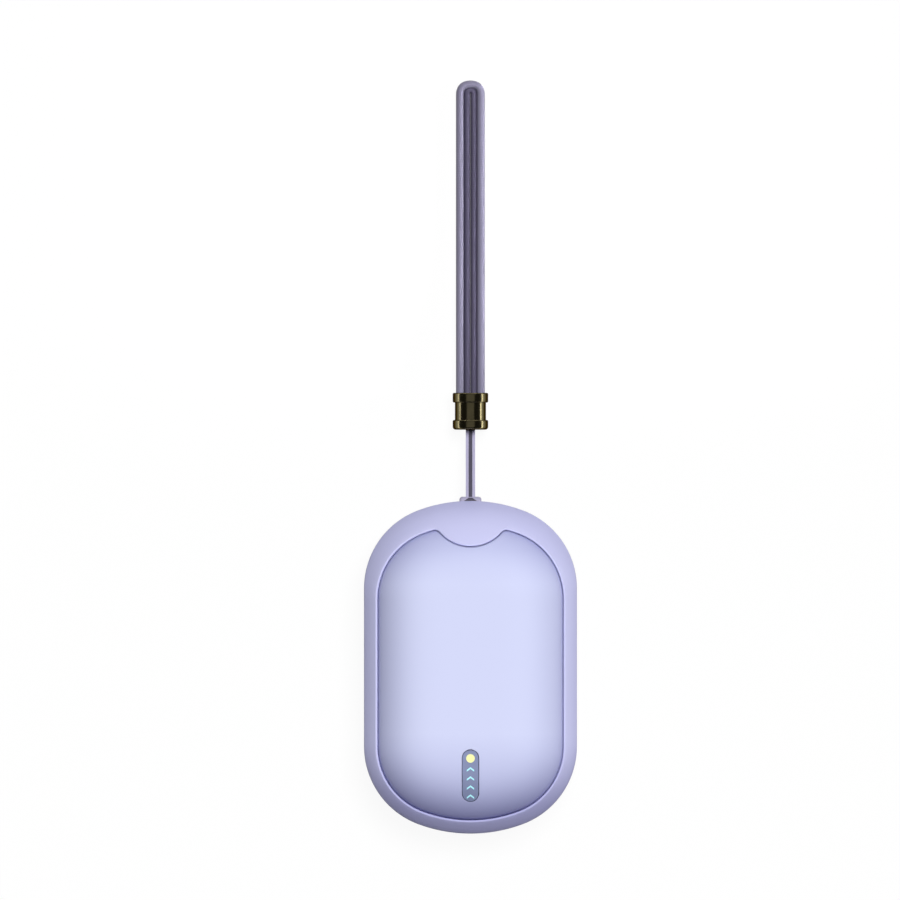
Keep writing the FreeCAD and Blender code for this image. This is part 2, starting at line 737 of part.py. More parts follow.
def front_frame(window):
    """Sloped rim with a scalloped pocket for the panel, a deck, screw posts and pin keepers."""
    block = common("rim_solid", dome("rim_dome", DOME_INSET, "dome_radius", DOME_TOP),
                   prism("rim_prism", "body_length", "0", "back_depth", ABOVE))
    outer = rolled("rim_outer", block, "rim_edge_round", crest(block.Shape, value("back_depth") + NEAR))
    cavity = common("rim_cavity",
                    dome("rim_inner_dome", f"{DOME_INSET} + shell_wall", "dome_radius - shell_wall",
                         f"{DOME_TOP} - shell_wall"),
                    prism("rim_inner_prism", "body_length", "shell_wall", "back_depth - overrun",
                          DECK_BOTTOM))
    recess = scalloped_prism("panel_recess", "rim_width", DECK_TOP, ABOVE)
    sharp = cut("rim_sharp", outer, recess)
    soft = rolled("rim_soft", sharp, "seam_round", crest(sharp.Shape, value(DECK_TOP) + NEAR))
    ring = cut("rim_ring", soft, cavity)
    posts = at_case_screws("case_post", "boss_diameter", "back_depth", DECK_TOP)
    keepers = []
    for index, side in enumerate((-1, 1), start=1):
        keeper = box(f"pin_keeper_{index}", "keeper_width", "pin_diameter",
                     "pin_drop + shell_wall / 2 - pin_diameter / 2 - pin_clearance")
        middle = "(barrel_width / 2 + slot_clearance + pin_length / 2) / 2"
        place(keeper, f"{side} * {middle} - keeper_width / 2", f"{PIN_Y} - pin_diameter / 2",
              f"{PIN_HEIGHT} + pin_diameter / 2 + pin_clearance")
        keepers.append(keeper)
    solid = fuse("rim_with_posts", ring, *posts, *keepers)

    holes = at_case_screws("case_hole", "case_screw_diameter + 2 * screw_clearance", "back_depth - overrun",
                           f"{DECK_TOP} + overrun")
    light_well = pill("light_well", "2 * (led_across + window_margin)", "key_length + 2 * window_margin",
                      "deck_thickness + 2 * overrun")
    place(light_well, "0", KEY_Y, f"{DECK_BOTTOM} - overrun")
    slots = snap_legs("snap_slot", "snap_clearance", f"{DECK_BOTTOM} - overrun", f"{DECK_TOP} + overrun")
    frame = cut("front_frame_solid", solid, window, light_well, *holes, *slots)
    return keep("front_frame", frame)


def snap_legs(name, clearance, bottom, top):
    """Blocks where the panel's four legs hook through the deck, grown by a clearance."""
    legs = []
    for across in (-1, 1):
        for along in (-1, 1):
            leg = box(f"{name}_{len(legs) + 1}", f"snap_thickness + 2 * {clearance}",
                      f"snap_width + 2 * {clearance}", f"({top}) - ({bottom})")
            middle = f"(body_width / 2 - {PANEL_SIDE} - panel_wall / 2)"
            place(leg, f"{across} * {middle} - snap_thickness / 2 - {clearance}",
                  f"{along} * (body_length / 2 - snap_end) - snap_width / 2 - {clearance}", bottom)
            legs.append(leg)
    return legs


def front_panel():
    """The domed panel: crown, skirt, scallop, key slot with its guide, and snap legs."""
    sharp = common("panel_sharp", panel_dome("panel_crown", "0"),
                   scalloped_prism("panel_prism", PANEL_SIDE, DECK_TOP, ABOVE))
    solid = rolled("panel_solid", sharp, "panel_edge_round", crest(sharp.Shape, value(DECK_TOP) + NEAR))
    hollow = common("panel_hollow", panel_dome("panel_inner_crown", "panel_wall"),
                    prism("panel_inner_prism", PANEL_LENGTH, f"{PANEL_SIDE} + panel_wall",
                          f"{DECK_TOP} - overrun", ABOVE))
    lip = cylinder("scallop_lip", "2 * (notch_radius + panel_gap + panel_wall)",
                   f"{ABOVE} - {DECK_TOP} + overrun")
    place(lip, "0", NOTCH_Y, f"{DECK_TOP} - overrun")
    slot = pill("key_slot", "key_width + 2 * key_gap", "key_length + 2 * key_gap", f"{ABOVE} - {DECK_TOP}")
    place(slot, "0", KEY_Y, DECK_TOP)
    guide = pill("key_guide", "key_width + 2 * (key_gap + key_flange)",
                 "key_length + 2 * (key_gap + key_flange)", f"{ABOVE} - {KEY_BASE} - key_lift")
    place(guide, "0", KEY_Y, f"{KEY_BASE} + key_lift")
    shell = cut("panel_shell", solid, cut("panel_hollow_with_lips", hollow, lip, guide), slot)
    legs = snap_legs("snap_leg", "0", f"{DECK_TOP} - snap_length", PANEL_EDGE)
    return keep("front_panel", fuse("front_panel_solid", shell, *legs))


def heat_sheets():
    """Aluminium heat spreader and heater film, nested under the panel's crown round the key."""
    depth = "panel_wall + bond_gap"
    outer = panel_dome("spreader_outer", depth)
    middle = panel_dome("spreader_inner", f"{depth} + spreader_thickness")
    inner = panel_dome("film_inner", f"{depth} + spreader_thickness + film_thickness")
    outline = prism("spreader_prism", PANEL_LENGTH, f"{PANEL_SIDE} + panel_wall + spreader_margin",
                    DECK_TOP, ABOVE)
    opening = pill("spreader_opening", "key_width + 2 * (key_flange + key_cutout)",
                   "key_length + 2 * (key_flange + key_cutout)", f"{ABOVE} - {DECK_TOP}")
    place(opening, "0", KEY_Y, DECK_TOP)
    keep("heat_spreader", cut("spreader_solid", common("spreader_block", outer, outline), middle, opening))
    keep("front_heater_film", cut("film_solid", common("film_block", middle, outline), inner, opening))
    bead = bind(doc.addObject("Part::Ellipsoid", "thermistor_bead"), Radius1="thermistor_diameter / 2",
                Radius2="thermistor_diameter", Radius3="thermistor_diameter / 2")
    place(bead, "thermistor_across", "thermistor_along",
          f"{FRONT_FILM_UNDER} - bond_gap - thermistor_diameter / 2")
    keep("thermistor", bead)


def back_heater():
    """Heat plate on the floor of the back shell, and on it the film with a tail out of the battery tray."""
    heat_plate = plate("back_plate", f"{BATTERY_WIDTH} - 2 * back_plate_margin",
                       f"{BATTERY_LENGTH} - 2 * back_plate_margin", "spreader_thickness", "back_plate_corner")
    keep("back_heat_plate", place(heat_plate, "0", BATTERY_Y, FLOOR))
    margin = "(back_plate_margin + back_film_margin)"
    film = plate("back_film", f"{BATTERY_WIDTH} - 2 * {margin}", f"{BATTERY_LENGTH} - 2 * {margin}",
                 "film_thickness", "back_plate_corner - back_film_margin")
    place(film, "0", BATTERY_Y, BACK_FILM)
    tail = box("film_tail", "film_tail_width", "film_tail_reach + back_film_margin", "film_thickness")
    place(tail, "film_tail_across - film_tail_width / 2",
          f"{BATTERY_LOW} + {margin} - film_tail_reach", BACK_FILM)
    keep("back_heater_film", fuse("back_film_solid", film, tail))


def battery():
    """Pouch cell with its sealed flange and tabs, the strip board on the tabs, and a foam pad."""
    cell = plate("pouch", BATTERY_WIDTH, BATTERY_LENGTH, "battery_thickness", "battery_corner")
    round_edges(cell, cell.Tip, "pouch_soft_edges", "battery_corner / 2",
                lambda edge: level_at(0)(edge) or level_at(value("battery_thickness"))(edge))
    place(cell, "0", BATTERY_Y, BATTERY_BOTTOM)
    flange = box("pouch_flange", f"{BATTERY_WIDTH} - 2 * battery_corner", "battery_flange + battery_corner",
                 "battery_flange_thickness")
    place(flange, f"-{BATTERY_WIDTH} / 2 + battery_corner", f"{BATTERY_LOW} - battery_flange",
          f"{BATTERY_MIDDLE} - battery_flange_thickness / 2")
    keep("battery_cell", fuse("battery_solid", cell, flange))
    tabs = []
    for index, side in enumerate((-1, 1), start=1):
        tab = box(f"battery_tab_{index}", "battery_tab_width", "battery_tab_length",
                  "battery_flange_thickness")
        place(tab, f"{side} * battery_tab_place - battery_tab_width / 2",
              f"{BATTERY_LOW} - battery_flange - battery_tab_length",
              f"{BATTERY_MIDDLE} - battery_flange_thickness / 2")
        tabs.append(tab)
    keep("battery_tabs", group("battery_tab_pair", tabs))
    strip = box("protection_strip", "protection_width", "protection_length", "protection_thickness")
    place(strip, "-protection_width / 2",
          f"{BATTERY_LOW} - battery_flange - protection_length + battery_tab_length / 2",
          f"{BATTERY_MIDDLE} + battery_flange_thickness / 2")
    keep("battery_protection_board", strip)
    pad_height = f"{DECK_BOTTOM} - {BATTERY_TOP} - 2 * pad_gap"
    foam = plate("foam_pad", f"{BATTERY_WIDTH} - 2 * pad_margin", f"{BATTERY_LENGTH} - 2 * pad_margin",
                 pad_height, "battery_corner")
    keep("battery_pad", place(foam, "0", BATTERY_Y, f"{BATTERY_TOP} + pad_gap"))


def screw(name, diameter, length, head_diameter, head_height):
    """Pan-head screw with its head's underside at its own origin."""
    body = new_body(name)
    head = new_sketch(body, name + "_head")
    circle(head, head_diameter)
    crown = pad(body, head, head_height)
    round_edges(body, crown, name + "_pan", f"({head_height}) / 2", level_at(value(head_height)))
    shank = new_sketch(body, name + "_shank", f"-({length})")
    circle(shank, diameter)
    pad(body, shank, length)
    return body


def screws():
    """Four screws through the frame's deck into the back shell, and two that hold the board."""
    case_set = []
    for index, (across, along) in enumerate(CASE_SCREWS, start=1):
        one = screw(f"case_screw_{index}", "case_screw_diameter - 2 * screw_clearance", "case_screw_length",
                    "case_head_diameter", "case_head_height")
        place(one, f"{across} * {CASE_SCREW_X}", f"{along} * {CASE_SCREW_Y}", DECK_TOP)
        case_set.append(one)
    keep("case_screws", group("case_screw_set", case_set))
    board_set = []
    for index, across in enumerate((-1, 1), start=1):
        one = screw(f"board_screw_{index}", "board_screw_diameter - 2 * screw_clearance",
                    "board_screw_length", "board_head_diameter", "board_head_height")
        place(one, f"{across} * board_screw_across", BOARD_SCREW_Y, BOARD_TOP)
        board_set.append(one)
    keep("board_screws", group("board_screw_set", board_set))


def main_board():
    """Circuit board with cut corners, two screw holes, a switch, a row of lights and the power parts."""
    body = new_body("board")
    outline = new_sketch(body, "board_outline")
    half = "board_width / 2"
    polygon(outline, [(f"-{half}", BOARD_HIGH), (f"-{half}", f"{BOARD_LOW} + board_chamfer"),
                      (f"-{half} + board_chamfer", BOARD_LOW), (f"{half} - board_chamfer", BOARD_LOW),
                      (half, f"{BOARD_LOW} + board_chamfer"), (half, BOARD_HIGH)])
    for across in (-1, 1):
        circle(outline, "board_screw_diameter + 2 * screw_clearance", f"{across} * board_screw_across",
               BOARD_SCREW_Y)
    pad(body, outline, "board_thickness")
    keep("main_board", place(body, z=BOARD_BOTTOM))

    lights = []
    for index, along in enumerate(["dot_place", *chevron_places()], start=1):
        light = box(f"light_{index}", "led_width", "led_length", "led_height")
        place(light, "-led_across - led_width / 2", f"{KEY_Y} + {along} - led_length / 2", BOARD_TOP)
        lights.append(light)
    keep("indicator_leds", group("light_row", lights))
    controller = plate("controller", "controller_width", "controller_width", "controller_height",
                       "controller_height / 2")
    place(controller, "-controller_across", "controller_end - body_length / 2", BOARD_TOP)
    inductor = plate("inductor", "inductor_width", "inductor_width", "inductor_height", "inductor_height / 2")
    place(inductor, "inductor_across", "inductor_end - body_length / 2", BOARD_TOP)
    keep("board_power_parts", group("power_parts", [controller, inductor]))


def chevron_places():
    """Places of the four chevrons along the key, from its middle."""
    return [f"chevron_first - {count} * chevron_pitch" for count in range(4)]


def key_switch():
    """Tactile switch under the key; its plunger moves with the key."""
    housing = plate("switch_housing", "switch_width", "switch_width", "switch_height", "plunger_depth / 2")
    place(housing, "0", KEY_Y, BOARD_TOP)
    well = cylinder("switch_well", "plunger_diameter + 2 * plunger_clearance",
                    "plunger_depth + 2 * key_travel + overrun")
    place(well, "0", KEY_Y, f"{SWITCH_TOP} - plunger_depth - 2 * key_travel")
    keep("tact_switch", cut("tact_switch_solid", housing, well))
    plunger = cylinder("plunger", "plunger_diameter", "plunger_depth + plunger_height")
    keep("switch_plunger", place(plunger, "0", KEY_Y, f"{SWITCH_TOP} - plunger_depth"))


def charging_socket():
    """Standard reversible charging socket on the board's edge: a drawn steel shell and its tongue."""
    mouth = "-body_length / 2 + socket_inset"
    outer = pill("socket_outer", "socket_height", "socket_width", "socket_depth")
    place(outer, "0", mouth, "back_depth", ACROSS_BODY)
    inner = pill("socket_inner", "socket_height - 2 * socket_wall", "socket_width - 2 * socket_wall",
                 "socket_depth - socket_back + overrun")
    place(inner, "0", f"{mouth} - overrun", "back_depth", ACROSS_BODY)
    keep("socket_shell", cut("socket_solid", outer, inner))
    tongue = box("tongue", "tongue_width", "tongue_depth", "tongue_thickness")
    place(tongue, "-tongue_width / 2", f"{mouth} + socket_depth - socket_back - tongue_depth",
          "back_depth - tongue_thickness / 2")
    keep("socket_tongue", tongue)


def key():
    """Pill-shaped key: a smoked lens that follows the panel's crown, its inlaid marks and its stem."""
    crown = panel_dome("key_crown", "key_recess")
    under = panel_dome("inlay_floor", "key_recess + inlay_depth")
    height = f"{ABOVE} - {KEY_BASE}"
    shaft = place(pill("key_shaft", "key_width", "key_length", height), "0", KEY_Y, KEY_BASE)
    flange = pill("key_flange_plate", "key_width + 2 * key_flange", "key_length + 2 * key_flange",
                  "key_flange_thickness")
    place(flange, "0", KEY_Y, f"{KEY_BASE} - key_flange_thickness")
    lens = fuse("key_blank", common("key_face", crown, shaft), flange)

    disc = place(cylinder("dot_disc", "dot_diameter", height), "0", f"{KEY_Y} + dot_place", KEY_BASE)
    dot = cut("dot_inlay", common("dot_block", crown, disc), under)
    marks = []
    for index, along in enumerate(chevron_places(), start=1):
        blank = chevron(f"chevron_{index}", f"{KEY_Y} + {along}", height)
        marks.append(cut(f"chevron_inlay_{index}", common(f"chevron_block_{index}", crown, blank), under))
    keep("key_lens", cut("key_lens_solid", lens, dot, *marks))
    keep("indicator_dot", dot)
    keep("indicator_chevrons", group("chevron_set", marks))
    stem_length = f"{KEY_BASE} - key_flange_thickness - {PLUNGER_TOP}"
    keep("key_stem", place(cylinder("stem", "stem_diameter", stem_length), "0", KEY_Y, PLUNGER_TOP))


def chevron(name, y, height):
    """An arrowhead without a tail, pointing at the strap."""
    body = new_body(name)
    sketch = new_sketch(body, name + "_outline")
    half, high = "chevron_half_width", "(chevron_height + chevron_stroke) / 2"
    low = f"-{high}"
    polygon(sketch, [(f"-{half}", low), ("0", f"{high} - chevron_stroke"), (half, low),
                     (half, f"{low} + chevron_stroke"), ("0", high), (f"-{half}", f"{low} + chevron_stroke")])
    pad(body, sketch, height)
    return place(body, "0", y, KEY_BASE)


def centre_line(points):
    """Straight runs joined by tangent arcs, each as large as its two runs allow."""
    points = [FreeCAD.Vector(*point) for point in points]
    pieces, radii, start = [], [], points[0]
    for before, corner, after in zip(points, points[1:], points[2:]):
        back, ahead = (before - corner).normalize(), (after - corner).normalize()
        half_turn = (math.pi - back.getAngle(ahead)) / 2
        reach = ARC_SHARE * min(before.distanceToPoint(corner), after.distanceToPoint(corner))
        radius = reach / math.tan(half_turn)
        entry, leave = corner + back * reach, corner + ahead * reach
        inward = (back + ahead).normalize()
        middle = corner + inward * (radius / math.cos(half_turn) - radius)
        pieces += [Part.LineSegment(start, entry).toShape(), Part.Arc(entry, middle, leave).toShape()]
        radii.append(radius)
        start = leave
    pieces.append(Part.LineSegment(start, points[-1]).toShape())
    return Part.Wire(pieces), radii


def swept(name, points, profile, section_area, upright):
    """A solid along a route, with its section held upright along one direction."""
    path, radii = centre_line(points)
    pipe = Part.BRepOffsetAPI.MakePipeShell(path)
    pipe.setBiNormalMode(upright)
    pipe.add(profile)
    pipe.build()
    pipe.makeSolid()
    feature = doc.addObject("Part::Feature", name)
    feature.Shape = pipe.shape()
    print(f"{name}: length {path.Length:.1f}, least radius {min(radii):.2f},",
          f"volume over section times length {feature.Shape.Volume / (section_area * path.Length):.3f}")
    return feature


def round_tube(name, points, diameter, upright):
    """A round cord or lead along a route."""
    start, ahead = FreeCAD.Vector(*points[0]), FreeCAD.Vector(*points[1]) - FreeCAD.Vector(*points[0])
    radius = value(diameter) / 2
    profile = Part.Wire([Part.Circle(start, ahead, radius).toShape()])
    return swept(name, points, profile, math.pi * radius ** 2, upright)


def flat_band(name, points, across, width, depth, upright):
    """A rectangular band along a route; across is the direction of its width at the start."""
    start = FreeCAD.Vector(*points[0])
    ahead = (FreeCAD.Vector(*points[1]) - start).normalize()
    wide, deep = across * (value(width) / 2), ahead.cross(across).normalize() * (value(depth) / 2)
    corners = [start - wide - deep, start + wide - deep, start + wide + deep, start - wide + deep]
    profile = Part.makePolygon(corners + corners[:1])
    return swept(name, points, profile, value(width) * value(depth), upright)


def strap_anchor():
    """Steel pin across the upper end, lying in the back shell's grooves."""
    pin = cylinder("pin", "pin_diameter", "pin_length")
    keep("anchor_pin", place(pin, "-pin_length / 2", PIN_Y, PIN_HEIGHT, ALONG_X))


def strap_link():
    """Two-shot link: a barrel on the pin and two pale edges, moulded round a dark core."""
    edge_offset, end = value("(link_width - link_edge) / 2"), value("body_length / 2")
    edges = []
    for index, side in enumerate((-1, 1), start=1):
        route = [(side * edge_offset, end + y, z) for y, z in LINK_ROUTE]
        edges.append(flat_band(f"link_edge_{index}", route, X_AXIS, "link_edge", "link_thickness", X_AXIS))
    route = [(0, end + y, z) for y, z in LINK_ROUTE]
    stem = flat_band("core_stem", route, X_AXIS, "link_width - 2 * link_edge",
                     "link_thickness - 2 * core_recess", X_AXIS)

    drum = cylinder("barrel_drum", "barrel_diameter", "barrel_width")
    place(drum, "-barrel_width / 2", PIN_Y, PIN_HEIGHT, ALONG_X)
    doc.recompute()
    barrel = rolled("barrel_rolled", drum, "barrel_round", lambda edge: len(edge.Vertexes) == 1)
    bore = cylinder("barrel_bore", "pin_diameter + 2 * pin_clearance", "barrel_width + 2 * overrun")
    place(bore, "-barrel_width / 2 - overrun", PIN_Y, PIN_HEIGHT, ALONG_X)

    foot_body = new_body("core_foot_prism")
    foot_sketch = new_sketch(foot_body, "core_foot_outline")
    low, high = "body_length / 2 - core_recess", "body_length / 2 - core_recess + core_foot_height"
    wide, narrow = "core_foot_width / 2", "(link_width - 2 * link_edge) / 2"
    polygon(foot_sketch, [(f"-{wide}", low), (wide, low), (narrow, high), (f"-{narrow}", high)])
    pad(foot_body, foot_sketch, "barrel_diameter")
    place(foot_body, z=f"{PIN_HEIGHT} - link_thickness / 2 + core_recess")
    foot = common("core_foot", foot_body, barrel)
    core = fuse("core_solid", stem, foot)
    keep("strap_link", cut("link_solid", fuse("link_blank", barrel, *edges), bore, core))
    keep("link_core", core)


def ferrule():
    """Turned brass spool that clamps the strap, and the plug inside it."""
    body = new_body("spool")
    profile = new_sketch(body, "spool_profile")
    flange, neck = "ferrule_flange_diameter / 2", "ferrule_neck_diameter / 2"
    bore, mouth = "ferrule_bore / 2", "ferrule_mouth / 2"
    upper = "ferrule_length - ferrule_flange_height"
    polygon(profile, [(mouth, "0"), (flange, "0"), (flange, "ferrule_flange_height"),
                      (neck, "ferrule_flange_height"), (neck, upper), (flange, upper),
                      (flange, "ferrule_length"), (bore, "ferrule_length"),
                      (bore, "ferrule_end_wall"), (mouth, "ferrule_end_wall")])
    turned = body.newObject("PartDesign::Revolution", "spool_turned")
    turned.Profile = profile
    turned.ReferenceAxis = (profile, ["V_Axis"])
    turned.Angle = 360
    doc.recompute()

    def on_rim(*heights):
        radius = value(flange)
        levels = [value(height) for height in heights]
        return lambda edge: (len(edge.Vertexes) == 1 and abs(edge.Curve.Radius - radius) < NEAR
                             and any(abs(edge.Vertexes[0].Y - level) < NEAR for level in levels))

    lower = round_edges(body, turned, "spool_end_round", "ferrule_end_round", on_rim("0"))
    round_edges(body, lower, "spool_rounds", "ferrule_round",
                on_rim("ferrule_flange_height", upper, "ferrule_length"))
    keep("ferrule", place(body, "0", "body_length / 2 + ferrule_reach", "ferrule_flange_diameter / 2"))

    plug_start = "body_length / 2 + ferrule_reach + ferrule_end_wall"
    core = cylinder("plug_core", "ferrule_bore - 2 * plug_clearance", "plug_length")
    place(core, "0", plug_start, "ferrule_flange_diameter / 2", FreeCAD.Rotation(X_AXIS, -90))
    width, depth = "(link_width + 2 * plug_clearance)", "(link_thickness + 2 * plug_clearance)"
    hole = box("plug_hole", width, "plug_socket + overrun", depth)
    place(hole, f"-{width} / 2", f"{plug_start} - overrun", f"ferrule_flange_diameter / 2 - {depth} / 2")
    keep("ferrule_plug", cut("plug_solid", core, hole))


def loop_route(spacing, drawn_in):
    """Out along one leg of the strap, round its tip and back along the other."""
    half, end = value(spacing) / 2, value("body_length / 2")
    tip_y, tip_z = STRAP_ROUTE[-1]
    legs = STRAP_ROUTE[:-1] + [(tip_y - drawn_in, tip_z)]
    return [(-half, end + y, z) for y, z in legs] + [(half, end + y, z) for y, z in reversed(legs)]


def wrist_strap():
    """Round strap in a long narrow loop, with a dark lining inside it."""
    keep("wrist_strap", round_tube("strap_tube", loop_route("strap_spacing", 0), "strap_diameter", Z_AXIS))
    route = loop_route("lining_spacing", value("strap_spacing - lining_spacing") / 2)
    keep("strap_lining", flat_band("lining_band", route, X_AXIS, "lining_thickness", "lining_depth", Z_AXIS))


def leads():
    """Pairs of insulated leads from the battery and the two heater films to the board."""
    for label, start, heights, route in (
            ("battery_leads", BATTERY_LOW, (STRIP_TOP, BOARD_TOP), BATTERY_LEAD_ROUTE),
            ("front_heater_leads", KEY_Y, (FRONT_FILM_UNDER, BOARD_TOP), FRONT_HEATER_LEAD_ROUTE),
            ("back_heater_leads", BATTERY_LOW, (BACK_FILM_TOP, BOARD_BOTTOM), BACK_HEATER_LEAD_ROUTE)):
        pair = []
        for index, side in enumerate((-1, 1), start=1):
            offset = side * value("lead_spacing") / 2
            points = [(x + offset, value(start) + y, value(height) + z)
                      for height, stretch in zip(heights, route) for x, y, z in stretch]
            pair.append(round_tube(f"{label}_{index}", points, "lead_diameter", X_AXIS))
        keep(label, group(label + "_pair", pair))


def main():
    window = socket_window()
    back_shell(window)
    front_frame(window)
    front_panel()
    heat_sheets()
    back_heater()
    battery()
    screws()
    main_board()
    key_switch()
    charging_socket()
    key()
    strap_anchor()
    strap_link()
    ferrule()
    wrist_strap()
    leads()
    doc.recompute()
    for thing in doc.Objects:
        if "Invalid" in thing.State or "Error" in thing.State:
            raise RuntimeError(f"{thing.Name} failed: {thing.State}")
    for node in nodes:
        if node.Shape.isNull() or not node.Shape.isValid():
            raise RuntimeError(f"{node.Label} has no valid shape")
    os.makedirs("parts", exist_ok=True)
    for node in nodes:
        node.Shape.exportStep(f"parts/{node.Label}.step")
    print(len(nodes), "sub-parts written")


main()
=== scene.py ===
# %% [markdown]
# A rechargeable hand warmer with a wrist strap. The CAD model gives every piece its
# place and size. This lesson gives the pieces their looks: it winds the soft strap,
# models the domed panel, paints each finish with nodes and lights the whole softly.

import math

import bmesh
import bpy
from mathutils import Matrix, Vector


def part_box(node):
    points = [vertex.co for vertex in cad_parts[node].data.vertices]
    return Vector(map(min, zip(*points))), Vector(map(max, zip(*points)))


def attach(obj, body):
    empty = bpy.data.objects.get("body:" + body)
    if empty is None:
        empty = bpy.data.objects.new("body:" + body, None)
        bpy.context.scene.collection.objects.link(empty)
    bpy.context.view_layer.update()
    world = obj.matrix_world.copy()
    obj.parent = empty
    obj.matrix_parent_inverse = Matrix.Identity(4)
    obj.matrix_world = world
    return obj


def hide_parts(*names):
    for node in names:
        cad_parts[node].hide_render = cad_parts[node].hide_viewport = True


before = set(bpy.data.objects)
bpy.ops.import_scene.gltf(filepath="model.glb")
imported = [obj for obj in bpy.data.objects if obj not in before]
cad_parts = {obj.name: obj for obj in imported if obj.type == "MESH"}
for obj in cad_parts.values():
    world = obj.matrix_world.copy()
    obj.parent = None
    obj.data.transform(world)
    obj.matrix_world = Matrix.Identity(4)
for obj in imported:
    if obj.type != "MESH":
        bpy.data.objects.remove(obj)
scene = bpy.context.scene
scene.view_settings.view_transform = "Standard"
MM = 0.001
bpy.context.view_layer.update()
bpy.ops.object.select_all(action="DESELECT")

# %% [markdown]
# The photograph looks straight down on the front with a long lens, so nothing leans. An
# orthographic camera would come close, but a lens keeps the trace of depth that a picture
# has. A camera with no turn looks down -Z with +Y up. From 12 m away, the lens follows from
# the width of the view: focal length = sensor width * distance / view width.

# %% Camera
VIEW_WIDTH = 270.4 * MM
VIEW_CENTRE = (-6.15 * MM, 65.3 * MM)
PANEL_HEIGHT = 20 * MM
CAMERA_HEIGHT = 12.0
SENSOR_WIDTH = 36

bpy.ops.object.camera_add(location=(*VIEW_CENTRE, CAMERA_HEIGHT), rotation=(0, 0, 0))
camera = bpy.context.object
camera.name = "picture_camera"
camera.data.sensor_width = SENSOR_WIDTH
camera.data.lens = SENSOR_WIDTH * (CAMERA_HEIGHT - PANEL_HEIGHT) / VIEW_WIDTH
camera.data.clip_end = 200
scene.camera = camera
print("lens", round(camera.data.lens, 1), "mm")

# %% [markdown]
# The strap is a round woven cord in one long loop. It leaves the ferrule, comes down to
# the table, turns at its tip and goes back. A curve with handles would need each handle set.
# A NURBS spline with the route's points as control points gives a line without kinks by
# itself. The line is read once, as the path that the cord follows.

# %% Route of the strap
# Distance between the two legs, and Y and Z along a leg, in mm.
CORD_SPACING = 6.3
LEG_START = [(76.6, 5.35), (86.5, 5.3), (98.0, 3.8), (112.0, 1.85), (135.0, 1.2)]
LEG = LEG_START + [(169.0, 1.2), (175.3, 1.2)]


def loop_points(leg, spacing):
    """Out along one leg, round the tip and back along the other."""
    there = [(-spacing / 2, y, z) for y, z in leg]
    back = [(spacing / 2, y, z) for y, z in reversed(leg)]
    return [(x * MM, y * MM, z * MM) for x, y, z in there + back]


def soft_line(name, points):
    """A smooth line pulled towards its points, and the places along it."""
    line = bpy.data.curves.new(name, "CURVE")
    line.dimensions = "3D"
    spline = line.splines.new("NURBS")
    spline.points.add(len(points) - 1)
    for control, place in zip(spline.points, points):
        control.co = (*place, 1)
    spline.order_u = 3
    spline.use_endpoint_u = True
    spline.resolution_u = 16
    piece = bpy.data.objects.new(name, line)
    scene.collection.objects.link(piece)
    read = bpy.data.meshes.new_from_object(piece)
    path = [tuple(vertex.co) for vertex in read.vertices]
    bpy.data.meshes.remove(read)
    return piece, path


def path_length(path):
    """Length of a path in mm, to one decimal."""
    return round(sum(math.dist(one, two) for one, two in zip(path, path[1:])) / MM, 1)


wrist_strap, strap_path = soft_line("woven_wrist_strap", loop_points(LEG, CORD_SPACING))
print("strap", path_length(strap_path), "mm long")

# %% [markdown]
# A curve with a round bevel is a tube, and it brings a UV map along and round it, which the
# weave needs later. Sweeping a circle along the line by extruding would make the same tube
# without that map. The bevelled curve then becomes a mesh, as every finished piece is.

# %% Wrist strap
CORD_DIAMETER = 2.4 * MM
TUBE_ANGLE = 50


def pick(*pieces):
    """Select pieces alone, with the first one active."""
    bpy.ops.object.select_all(action="DESELECT")
    for piece in pieces:
        piece.select_set(True)
    bpy.context.view_layer.objects.active = pieces[0]


def shade(angle=40):
    """Shade smoothly, apart from edges sharper than an angle in degrees."""
    bpy.ops.object.shade_smooth_by_angle(angle=math.radians(angle))


def made_tube(piece, radius):
    """The line with a round bevel, turned into a mesh in its place."""
    piece.data.bevel_depth = radius
    piece.data.bevel_resolution = 6
    piece.data.use_fill_caps = True
    pick(piece)
    bpy.ops.object.convert(target="MESH")
    shade(TUBE_ANGLE)
    return bpy.context.object


wrist_strap = made_tube(wrist_strap, CORD_DIAMETER / 2)
print("strap", len(wrist_strap.data.vertices), "vertices")

# %% [markdown]
# A dark tape fills the loop on its inside, between the two legs. Its dark colour is painted shade:
# it stands in for the shadow in the gap between the legs. A copy of the cord, scaled down, would
# drift away from it at the tip. So the tape is wound in the same way as the cord, on a narrower
# route that lies against it, and the two stay together wherever the strap goes.

# %% Dark tape of painted shade between the legs
SHADE_TAPE_LEG = LEG_START + [(171.4, 1.2), (173.5, 1.2)]
SHADE_TAPE_SPACING = 1.96
SHADE_TAPE_RADIUS = 0.97

# The tape is a dark piece of painted shade in the gap between the cord's legs.
lining, shade_tape_path = soft_line("strap_gap_shade_tape", loop_points(SHADE_TAPE_LEG, SHADE_TAPE_SPACING))
lining = made_tube(lining, SHADE_TAPE_RADIUS * MM)
print("lining", path_length(shade_tape_path), "mm long")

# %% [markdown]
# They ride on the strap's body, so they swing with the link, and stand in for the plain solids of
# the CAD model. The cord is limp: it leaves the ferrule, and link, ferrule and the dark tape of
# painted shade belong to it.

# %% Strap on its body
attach(wrist_strap, "strap")
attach(lining, "strap")
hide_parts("wrist_strap")
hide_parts("strap_lining")
print("strap and lining ride with the ferrule")

# %% [markdown]
# Inside the body, pairs of thin leads join the battery and the two heaters to the board.
# Straight cylinders with elbows would look like pipes, so they are short pieces of the same
# kind as the strap: a spline along each route, with a round bevel. The two leads of a
# pair lie side by side and are joined into one piece.

# %% Leads inside the body
LEAD_RADIUS, LEAD_OFFSET = 0.5, 0.8
